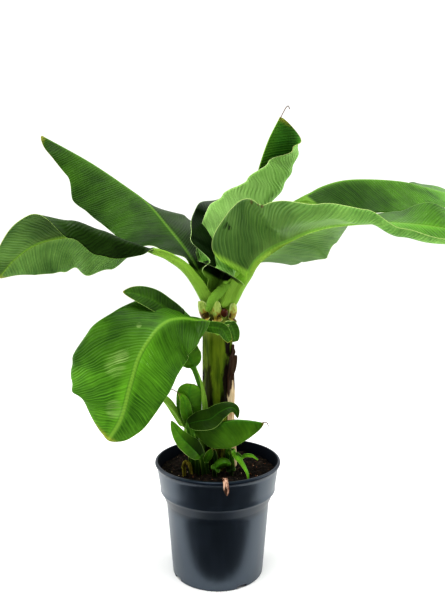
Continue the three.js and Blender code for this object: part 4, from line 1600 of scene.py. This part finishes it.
LEAF_CENTRE = LeafForm(
    name="leaf_centre", stalk=((0, 4, 457), (0, 6, 478)),
    rib=(
        (2, 8, 497), (16, 16, 532), (35, 24, 578), (51, 26, 616), (62, 24, 657), (70, 20, 692),
        (84, 12, 733), (102, 5, 769)),
    face_foot=(0, -1, 0.1), face_tip=(0.3, -0.9, 0.1), stalk_half=(18, 22), stalk_lift=(10, 30),
    stalk_curl=(85, 10),
    right=Half(
        (0,), (230, 215, 200, 192, 190, 188, 182, 140, 20),
        (0.3, 0.25, 0.25, 0.25, 0.3, 0.42, 0.52, 0.62, 0.6), 0.4, wide=128, tip_fall=4.5),
    left=Half((40, 10, -10, -60, -110, -125, -125), (100, 40, 10, 0, 0, 0, 0), wide=84),
    dim=(0.12, 0.12, 0.16, 0.4, 1.0, 1.2), widest=0.25, foot_fall=3, tip_fall=2.6, columns=30)
LEAF_RIGHT_FRONT = LeafForm(
    name="leaf_right_front", stalk=((15, -8, 457), (25, -13, 466), (38, -22, 493)),
    rib=(
        (49, -30, 512), (64, -40, 536), (86, -55, 555), (107, -65, 569), (134, -80, 583), (162, -90, 592),
        (192, -97, 596), (236, -105, 598), (287, -115, 595), (337, -122, 588), (386, -128, 574),
        (424, -130, 557)),
    face_stalk=(-1, 0.5, 0.4), face_foot=(-0.6, 0.3, 0.8), face_tip=(0.3, 0, 1), stalk_half=(27, 24, 13),
    wide=92, widest=0.16, foot_fall=3, ends=(0.35, 0.05),
    right=Half(
        (85, 78, 14, 0, -8, -28, -38, -32, -20), (0, 0, 75, 90, 108, 115, 118, 90, 40),
        (0.5, 0.5, 0.62, 0.8, 0.84, 0.84, 0.84, 0.84, 0.84), 0.35,
        dim=(0.6, 0.7, 0.75, 1.1, 1.75, 1.8, 1.8, 1.8, 1.6)),
    left=Half((-10, -18, -28, -12, 15, 20, 45, 30, 10), wide=88, dim=(1, 1, 1, 1, 1, 1.1, 1.5, 1.6, 1.6)),
    joined=(
        replace(
            STRAP, name="petiole_wing", stalk=((26, -22, 507),),
            rib=((17, -25, 500), (3, -28, 486), (-11, -29, 469), (-17, -27, 453)), face_foot=(0, -1, 0.1),
            face_tip=(-0.2, -1, 0), wide=9, ends=(0.6, 0.6), stalk_until=2.0),))
LEAF_BACK_RIGHT = LeafForm(
    name="leaf_back_right", stalk=((7, 12, 457), (20, 18, 490), (75, 60, 590), (120, 80, 625)),
    rib=(
        (150, 92, 642), (188, 110, 664), (243, 125, 677), (333, 140, 675), (394, 145, 661), (471, 150, 637),
        (529, 150, 607)),
    face_stalk=(-0.8, -0.7, 0.3), face_foot=(-0.5, -0.2, 0.9), face_tip=(0.3, 0, 1),
    stalk_half=(20, 12, 9, 8), stalk_lift=(10, 55, 0, -40), wide=84, right=Half((-40, -50, -40, -25, -20)),
    left=Half((-40, -50, -40, -40, -20, 10, 15, 15, 10)), dim=(0.8, 0.95, 1.2, 2.3, 2.3))
LEAF_LOW = LeafForm(
    name="leaf_low", stalk=((4, -25, 420), (-10, -34, 430)),
    rib=(
        (-25, -47, 438), (-43, -62, 447), (-62, -80, 450), (-78, -95, 447), (-95, -110, 433),
        (-116, -125, 400), (-128, -135, 360), (-142, -140, 309), (-162, -140, 275)),
    face_foot=(0.2, -0.3, 0.9), face_tip=(-0.3, -0.9, 0.2), stalk_half=(7, 7), stalk_lift=(10, 40),
    stalk_curl=(0,), rib_seen=7.0,
    right=Half(
        (10, 0, 0, 0, 0), (-5,), wide=100, widest=0.5, start=0.08,
        outline=(0.85, 0.86, 0.86, 0.83, 0.97, 1.08, 1.17, 1.36, 1.9), dim=(1.1, 1.2, 1.25, 2.2, 2.0)),
    left=Half(
        (-10, -30, -32, -30, -25), (-10,), wide=69, outline=(1, 1, 1, 1, 1, 1, 1, 0.99, 0.99, 1.03, 1.3),
        dim=(0.9, 1.1, 1.9, 2.0, 1.7)),
    joined=(
        replace(
            LOBE, name="torn_lobe", stalk=((-38, -54, 441),),
            rib=((-55, -60, 449), (-80, -63, 463), (-102, -66, 477), (-125, -69, 486), (-147, -71, 490)),
            face_foot=(0.2, -0.75, 0.6), wide=19, widest=0.5, ends=(0.4, 0.05), dim=(0.35, 0.6, 0.9)),
        replace(
            LOBE, name="collar", stalk=((-36, -50, 421),),
            rib=((-22, -50, 431), (-7, -48, 431), (7, -44, 427), (15, -38, 415), (20, -33, 405)),
            face_foot=(0, -1, 0.15), face_tip=(0.3, -1, 0.1), wide=10, ends=(0.6, 0.4), dim=(1.1, 1.0, 1.3)),
        replace(
            LOBE, name="collar_lobe", stalk=((12, -40, 436),),
            rib=((19, -36, 436), (25, -32, 425), (28, -29, 412), (29, -27, 404)),
            face_foot=(0.35, -0.93, 0.1), wide=10, ends=(0.6, 0.4))))
BIG_LEAVES = (LEAF_LEFT, LEAF_BACK_LEFT, LEAF_RIGHT_FRONT, LEAF_BACK_RIGHT, LEAF_LOW)
SHEATH_STUBS = (
    replace(
        STRAP, name="sheath_stub_left", stalk=((-15, -16, 428),),
        rib=((-21, -20, 438), (-27, -22, 453), (-30, -22, 470)), face_foot=(-0.65, -0.75, 0), wide=13,
        tip_fall=3.5),
    replace(
        STRAP, name="sheath_stub_front", stalk=((1, -23, 428),),
        rib=((0, -26.5, 438), (-2, -28, 454), (-2.5, -27, 471)), wide=10, tip_fall=3.5),
    replace(
        STRAP, name="sheath_stub_right", stalk=((16, -16, 428),),
        rib=((24, -19, 438), (29, -21, 452), (28, -20, 467)), face_foot=(0.6, -0.8, 0), wide=10,
        tip_fall=3.5))
DRY_SHEATHS = (
    replace(
        STRAP, name="dry_sheath", stalk=((24, -9, 396),),
        rib=((24, -10, 388), (24.5, -11, 345), (24.5, -11.5, 302), (26, -13, 245), (29, -14, 186)),
        face_foot=(0.85, -0.55, 0), wide=12, rows=110, ends=(0.3, 0.9), tip_fall=6,
        right=Half((-8,), (-14,)), left=Half((-8,), (-14,)), dim=(0.1, 0.5, 1.3, 1.5, 1.3)),
    replace(
        SMALL, name="dry_flap", stalk=((22, -15, 338),),
        rib=((24, -16, 348), (27, -16, 364), (30, -15, 379)), face_foot=(0.3, -1, 0), wide=5,
        ends=(0.5, 0.5), dim=(0.1,)))
DRY_CURL = replace(
    STRAP, name="dry_curl", stalk=((-55, -42, 178),),
    rib=((-56, -43, 194), (-52, -45, 206), (-45, -48, 203), (-41, -52, 188)), face_foot=(0.5, -0.8, 0.5),
    wide=4)
DRY_SCRAP = replace(
    STRAP, name="dry_scrap", stalk=((12, -88, 178),),
    rib=((12, -95, 195), (12, -101, 199.5), (12.5, -108.5, 198), (13.5, -109.5, 188), (15, -109, 176)),
    face_foot=(0, -1, 0.4), face_tip=(0, -1, 0.2), wide=5, widest=0.7, ends=(0.5, 0.1))
SUCKERS = (
    replace(
        SMALL, name="sucker_tall",
        stalk=((-26, -22, 178), (-21, -25, 254), (-19, -27, 297), (-26, -30, 331)),
        rib=((-38, -35, 364), (-49, -38, 388), (-57, -42, 412), (-63, -46, 436)),
        face_foot=(-0.4, 0.3, 0.8), face_tip=(-0.4, -0.6, 0.6), stalk_half=(11, 9, 8, 6), stalk_rows=50,
        wide=25, dim=(1.0, 0.5, 0.4)),
    replace(
        SMALL, name="sucker_left",
        stalk=((-37, -24, 178), (-46, -24, 243), (-57, -28, 265), (-75, -38, 297)),
        rib=((-92, -47, 315), (-112, -52, 325), (-141, -56, 320), (-168, -58, 298)),
        face_foot=(-0.5, 0, 0.9), face_tip=(-0.7, 0, 0.7), stalk_half=(8, 8, 8), stalk_rows=50, wide=22,
        right=Half((-10, -20)), left=Half((20, -10))),
    replace(
        SMALL, name="sucker_leaf_upright", stalk=((-33, -33, 178), (-34, -31, 235)),
        rib=((-38, -30, 262), (-46, -30, 290), (-47, -31, 312), (-44, -33, 335)), face_foot=(0.2, -1, 0),
        wide=21, widest=0.55, tip_fall=4.5, ends=(0.1, 0.3), left=Half((-8,)), dim=(0.5, 1.1, 1.5)),
    replace(
        SMALL, name="sucker_leaf_curled", stalk=((-44, -34, 178), (-46, -34, 240)),
        rib=((-48, -34, 268), (-52, -35, 290), (-54, -36, 304), (-58, -38, 314), (-63, -40, 320)),
        face_foot=(0.1, -1, 0.1), face_tip=(0.1, -0.8, 0.5), wide=10, widest=0.35, dim=(0.6, 1.4, 1.8)),
    replace(
        SMALL, name="sucker_leaf_dark", stalk=((-40, -41, 178), (-42, -41, 234), (-47, -43, 256)),
        rib=(
            (-48, -44, 269), (-32, -48, 276), (-12, -51, 281), (4, -52, 293), (19, -52, 300),
            (29, -52, 297), (33, -52, 283)),
        face_foot=(0, -0.9, 0.4), face_tip=(0, -0.8, 0.6), wide=18, widest=0.38, tip_fall=1.15,
        dim=(0.25, 0.35, 0.5)),
    replace(
        SMALL, name="sucker_leaf_broad", stalk=((-32, -44, 178), (-34, -46, 226)),
        rib=(
            (-38, -48, 257), (-12, -54, 268), (10, -58, 277), (31, -61, 281), (52, -64, 281),
            (74, -68, 279)),
        face_foot=(-0.2, -0.8, 0.7), face_tip=(0, -0.7, 0.7), rows=90, columns=18,
        right=Half((-30,), (-10,), wide=42, foot_rise=0.9, dim=(0.45, 0.7, 0.9)),
        left=Half((-50,), (-20,), wide=30)),
    replace(
        SMALL, name="sucker_leaf_outer", stalk=((-23, -43, 178), (-26, -50, 205)),
        rib=((-29, -56, 220), (-41, -59, 235), (-55, -60, 250), (-66, -60, 266), (-74, -61, 281)),
        face_foot=(0.4, -0.8, 0.5), wide=17, widest=0.35, ends=(0.35, 0.05),
        right=Half((10,), outline=(1, 1, 0.75, 0.6, 0.6), dim=(0.2, 0.25, 0.4, 0.9, 1.0)),
        dim=(0.9, 1.4, 1.9)),
    replace(
        SMALL, name="sucker_leaf_small", stalk=((-15, -41, 178), (-18, -43, 194)),
        rib=((-19, -45, 206), (-15, -49, 219), (-9, -52, 232)), face_foot=(0.3, -0.8, 0.5), wide=7),
    replace(
        STRAP, name="sucker_stub", stalk=((-4, -38, 178),),
        rib=((-5, -38, 195), (-6, -39, 210), (-7, -41, 226)), wide=7, ends=(0.9, 0.4), dim=(0.3,)),
    replace(
        SMALL, name="sucker_bud", stalk=((-3, -48, 178), (-5, -52, 190)),
        rib=((-4, -56, 198), (3, -59, 207), (12, -60, 211), (22, -59, 207)), face_foot=(0, -1, 0.3),
        wide=12, widest=0.5, ends=(0.5, 0.2), right=Half((-25,), (-40,)), left=Half((-25,), (-40,))),
    replace(
        STRAP, name="sucker_right", stalk=((22, -40, 178),),
        rib=((22, -40, 190), (20, -42, 212), (18, -45, 233)), wide=9, dim=(0.3, 0.7, 1.5),
        joined=(
            replace(
                STRAP, name="sucker_right_blade", stalk=((19, -45, 222),),
                rib=((24, -51, 228), (34, -57, 221), (43, -64, 210), (49, -72, 198), (50, -76, 188)),
                face_foot=(0.6, -0.6, 0.5), face_tip=(0.8, -0.6, 0.2), wide=8, widest=0.28, tip_fall=1,
                ends=(0.4, 0.25), dim=(1.6, 1.8, 1.8)),
            replace(
                STRAP, name="sucker_right_curl", stalk=((30, -54, 224),),
                rib=((38, -54, 218), (45, -54, 222), (56, -55, 222), (66, -58, 215)),
                face_foot=(0, -0.8, 0.6), face_tip=(0.5, -0.6, 0.5), wide=3, dim=(1.6, 1.8, 1.8)))))


@dataclass
class Foliage:
    """Leaves that share an upper side and an underside, with a slot that is handed on but not applied."""

    forms: tuple[LeafForm, ...]
    looks: tuple[bpy.types.Material, bpy.types.Material]
    slot: Slot = Slot.LEAF

    def build(self) -> None:
        """Builds each leaf in place of its solid."""
        for form in self.forms:
            settle(make_piece(f"{form.name}_fine", LeafShape(form).sheet(), self.looks), self.slot, form.name)


@dataclass
class Threads:
    """Dried threads at the leaves' tips and a rolled bud between the sheath stubs."""

    bud_place: Place = (11.0, -24.0, 451.0)
    bud_size: Place = (6.0, 5.5, 7.5)
    bud_rings: int = 14
    bud_sides: int = 24
    thread_sides: int = 8
    tip_share: float = 0.35
    thread: PlainFinish = PlainFinish("dried_thread", (0.1, 0.06, 0.03))
    bud: PlainFinish = PlainFinish("bud", (0.05, 0.011, 0.004), 0.3)
    paths: tuple[tuple[str, float, tuple[Place, ...]], ...] = (
        ("centre_leaf_thread", 0.7,
         ((102, 5, 766), (106, 5, 774), (111, 5, 783), (115, 5, 786), (117, 5, 781))),
        ("broad_leaf_thread", 0.8, ((70, -67, 279), (76, -69, 281), (80, -70, 279), (81, -70, 274))),
        ("curled_leaf_thread", 0.7, ((-60, -39, 317), (-66, -41, 323), (-74, -43, 328), (-80, -44, 328))))

    def build(self) -> None:
        """Builds the threads and the bud."""
        dried = self.thread.material()
        for name, thickness, path in self.paths:
            data = bpy.data.meshes.new(name)
            spots = [tuple(part * MM for part in place) for place in path]
            data.from_pydata(spots, [(k, k + 1) for k in range(len(spots) - 1)], [])
            piece = linked(name, data)
            tree = NodeTree(f"{name}_tree")
            tree.thread(self.tip_share, self.thread_sides)
            tree.apply(piece, {"Thickness": thickness * MM, "Material": dried})
            settle(piece, Slot.DRY)
        turns = np.linspace(-math.pi / 2, math.pi / 2, self.bud_rings)
        ball = turned([(max(math.cos(turn), 0.0), math.sin(turn)) for turn in turns], self.bud_sides)
        ball.places[:] = ball.places * self.bud_size + self.bud_place
        settle(make_piece("rolled_bud", ball, [self.bud.material()]), Slot.DRY)


@dataclass
class Studio:
    """Pale floor, soft light and the photograph's camera."""

    lens_pixels: float = 650.0
    frame_height: float = 593.0
    sensor: float = 36.0
    camera_place: Place = (0.0081, -1.078, 0.592)
    camera_pitch: float = 6.18
    clip: tuple[float, float] = (0.01, 50.0)
    paper: Colour = (0.93, 0.93, 0.925)
    backdrop: Colour = (0.98, 0.975, 0.97)
    floor_reach: tuple[float, float, float, float] = (-6.0, -6.0, 6.0, 6.0)
    mirrored_reach: tuple[float, float, float, float] = (-4.0, -0.1, 4.0, 6.0)
    mirrored_rise: float = 0.001
    depth_glow: tuple[float, float, float, float] = (-1.0, 0.2, 0.15, 1.0)
    height_glow: tuple[float, float, float, float] = (-0.5, 1.0, 0.1, 1.9)
    softboxes: tuple[tuple[str, Place, Place, float, float], ...] = (
        ("left_softbox", (-1.7, 0.3, 1.0), (0, 0, 0.3), 1.3, 16.0),
        ("right_softbox", (1.7, 0.3, 1.0), (0, 0, 0.3), 1.3, 16.0),
        ("top_softbox", (-0.3, -0.7, 2.2), (0, 0, 0.5), 1.0, 26.0))

    def build(self) -> None:
        """Builds floor, lights and camera."""
        scene = bpy.context.scene
        pale = Bench("pale_floor").finish(self.paper, roughness=0.8, specular=0.1)
        self.sheet("studio_floor", self.floor_reach, pale).visible_glossy = False
        mirrored = self.sheet("floor_as_mirrored", self.mirrored_reach, pale)
        mirrored.location.z = self.mirrored_rise
        mirrored.visible_camera = mirrored.visible_diffuse = mirrored.visible_shadow = False
        scene.world = self.surround()
        scene.view_settings.view_transform = "Standard"
        scene.view_settings.look = "Medium High Contrast"
        for softbox in self.softboxes:
            self.light(*softbox)
        lens = bpy.data.cameras.new("photo_camera")
        lens.sensor_width = self.sensor
        lens.lens = self.sensor * self.lens_pixels / self.frame_height
        lens.clip_start, lens.clip_end = self.clip
        scene.camera = linked("photo_camera", lens)
        scene.camera.location = self.camera_place
        scene.camera.rotation_euler = (math.radians(90 - self.camera_pitch), 0, 0)

    def sheet(self, name: str, reach: tuple[float, float, float, float],
              material: bpy.types.Material) -> bpy.types.Object:
        """Lays a flat sheet on the ground.

        Args:
            name: The sheet's name.
            reach: Its least X and Y and its greatest X and Y, in metres.
            material: Its material.

        Returns:
            The staged sheet.
        """
        left, front, right, back = reach
        corners = [(left, front, 0), (right, front, 0), (right, back, 0), (left, back, 0)]
        data = bpy.data.meshes.new(name)
        data.from_pydata(corners, [], [(0, 1, 2, 3)])
        data.materials.append(material)
        laid = linked(name, data)
        return laid

    def surround(self) -> bpy.types.World:
        """A pale world that is brightest above and behind and dimmer in front of the plant.

        Returns:
            The world.
        """
        world = bpy.data.worlds.new("pale_studio")
        world.use_nodes = True
        tree = world.node_tree
        tree.nodes.clear()
        make, link = tree.nodes.new, tree.links.new
        way, parts, both = make("ShaderNodeTexCoord"), make("ShaderNodeSeparateXYZ"), make("ShaderNodeMath")
        link(way.outputs["Generated"], parts.inputs["Vector"])
        both.operation = "MULTIPLY"
        for number, (axis, values) in enumerate((("Y", self.depth_glow), ("Z", self.height_glow))):
            node = make("ShaderNodeMapRange")
            link(parts.outputs[axis], node.inputs["Value"])
            for name, value in zip(("From Min", "From Max", "To Min", "To Max"), values):
                node.inputs[name].default_value = value
            link(node.outputs["Result"], both.inputs[number])
        glow, plain = make("ShaderNodeBackground"), make("ShaderNodeBackground")
        link(both.outputs["Value"], glow.inputs["Strength"])
        plain.inputs["Color"].default_value = (*self.backdrop, 1.0)
        mixed, seen = make("ShaderNodeMixShader"), make("ShaderNodeLightPath")
        out = make("ShaderNodeOutputWorld")
        link(seen.outputs["Is Camera Ray"], mixed.inputs["Fac"])
        link(glow.outputs["Background"], mixed.inputs[1])
        link(plain.outputs["Background"], mixed.inputs[2])
        link(mixed.outputs["Shader"], out.inputs["Surface"])
        return world

    def light(self, name: str, place: Place, target: Place, size: float, power: float) -> None:
        """Adds one soft area light.

        Args:
            name: The light's name.
            place: Where it stands, in metres.
            target: What it faces.
            size: Side of its square, in metres.
            power: Its power, in watts.
        """
        data = bpy.data.lights.new(name, "AREA")
        data.shape, data.size, data.energy = "SQUARE", size, power
        lamp = linked(name, data)
        lamp.location = place
        lamp.rotation_mode = "QUATERNION"
        lamp.rotation_quaternion = (Vector(target) - Vector(place)).to_track_quat("-Z", "Y")


def main() -> None:
    """Builds the studio and the plant in order."""
    logging.basicConfig(level=logging.INFO, format="%(name)s: %(message)s")
    Studio().build()
    pot = NurseryPot()
    pot.build()
    PottingSoil(pot).build()
    Pseudostem().build()
    sheath, dry = StubFinish().material(), DryFinish().material()
    ochre = DryFinish("ochre_scrap", (0.3, 0.26, 0.04), (0.12, 0.09, 0.012)).material()
    rusty = DryFinish("rusty_scrap", (0.7, 0.45, 0.32), (0.13, 0.035, 0.015), (0.02, 0.006, 0.003)).material()
    upper, under, sucker = UPPER.material(), UNDER.material(), SUCKER.material()
    Foliage(BIG_LEAVES, (upper, under)).build()
    Foliage((LEAF_CENTRE,), (YOUNG_UPPER.material(), YOUNG_UNDER.material()), Slot.YOUNG).build()
    Foliage(SUCKERS, (sucker, SUCKER_UNDER.material())).build()
    Foliage(SHEATH_STUBS, (sheath, sheath), Slot.STEM).build()
    Foliage(DRY_SHEATHS, (dry, dry), Slot.DRY).build()
    Foliage((DRY_CURL,), (ochre, ochre), Slot.DRY).build()
    Foliage((DRY_SCRAP,), (rusty, rusty), Slot.DRY).build()
    Threads().build()


if __name__ == "__main__":
    main()
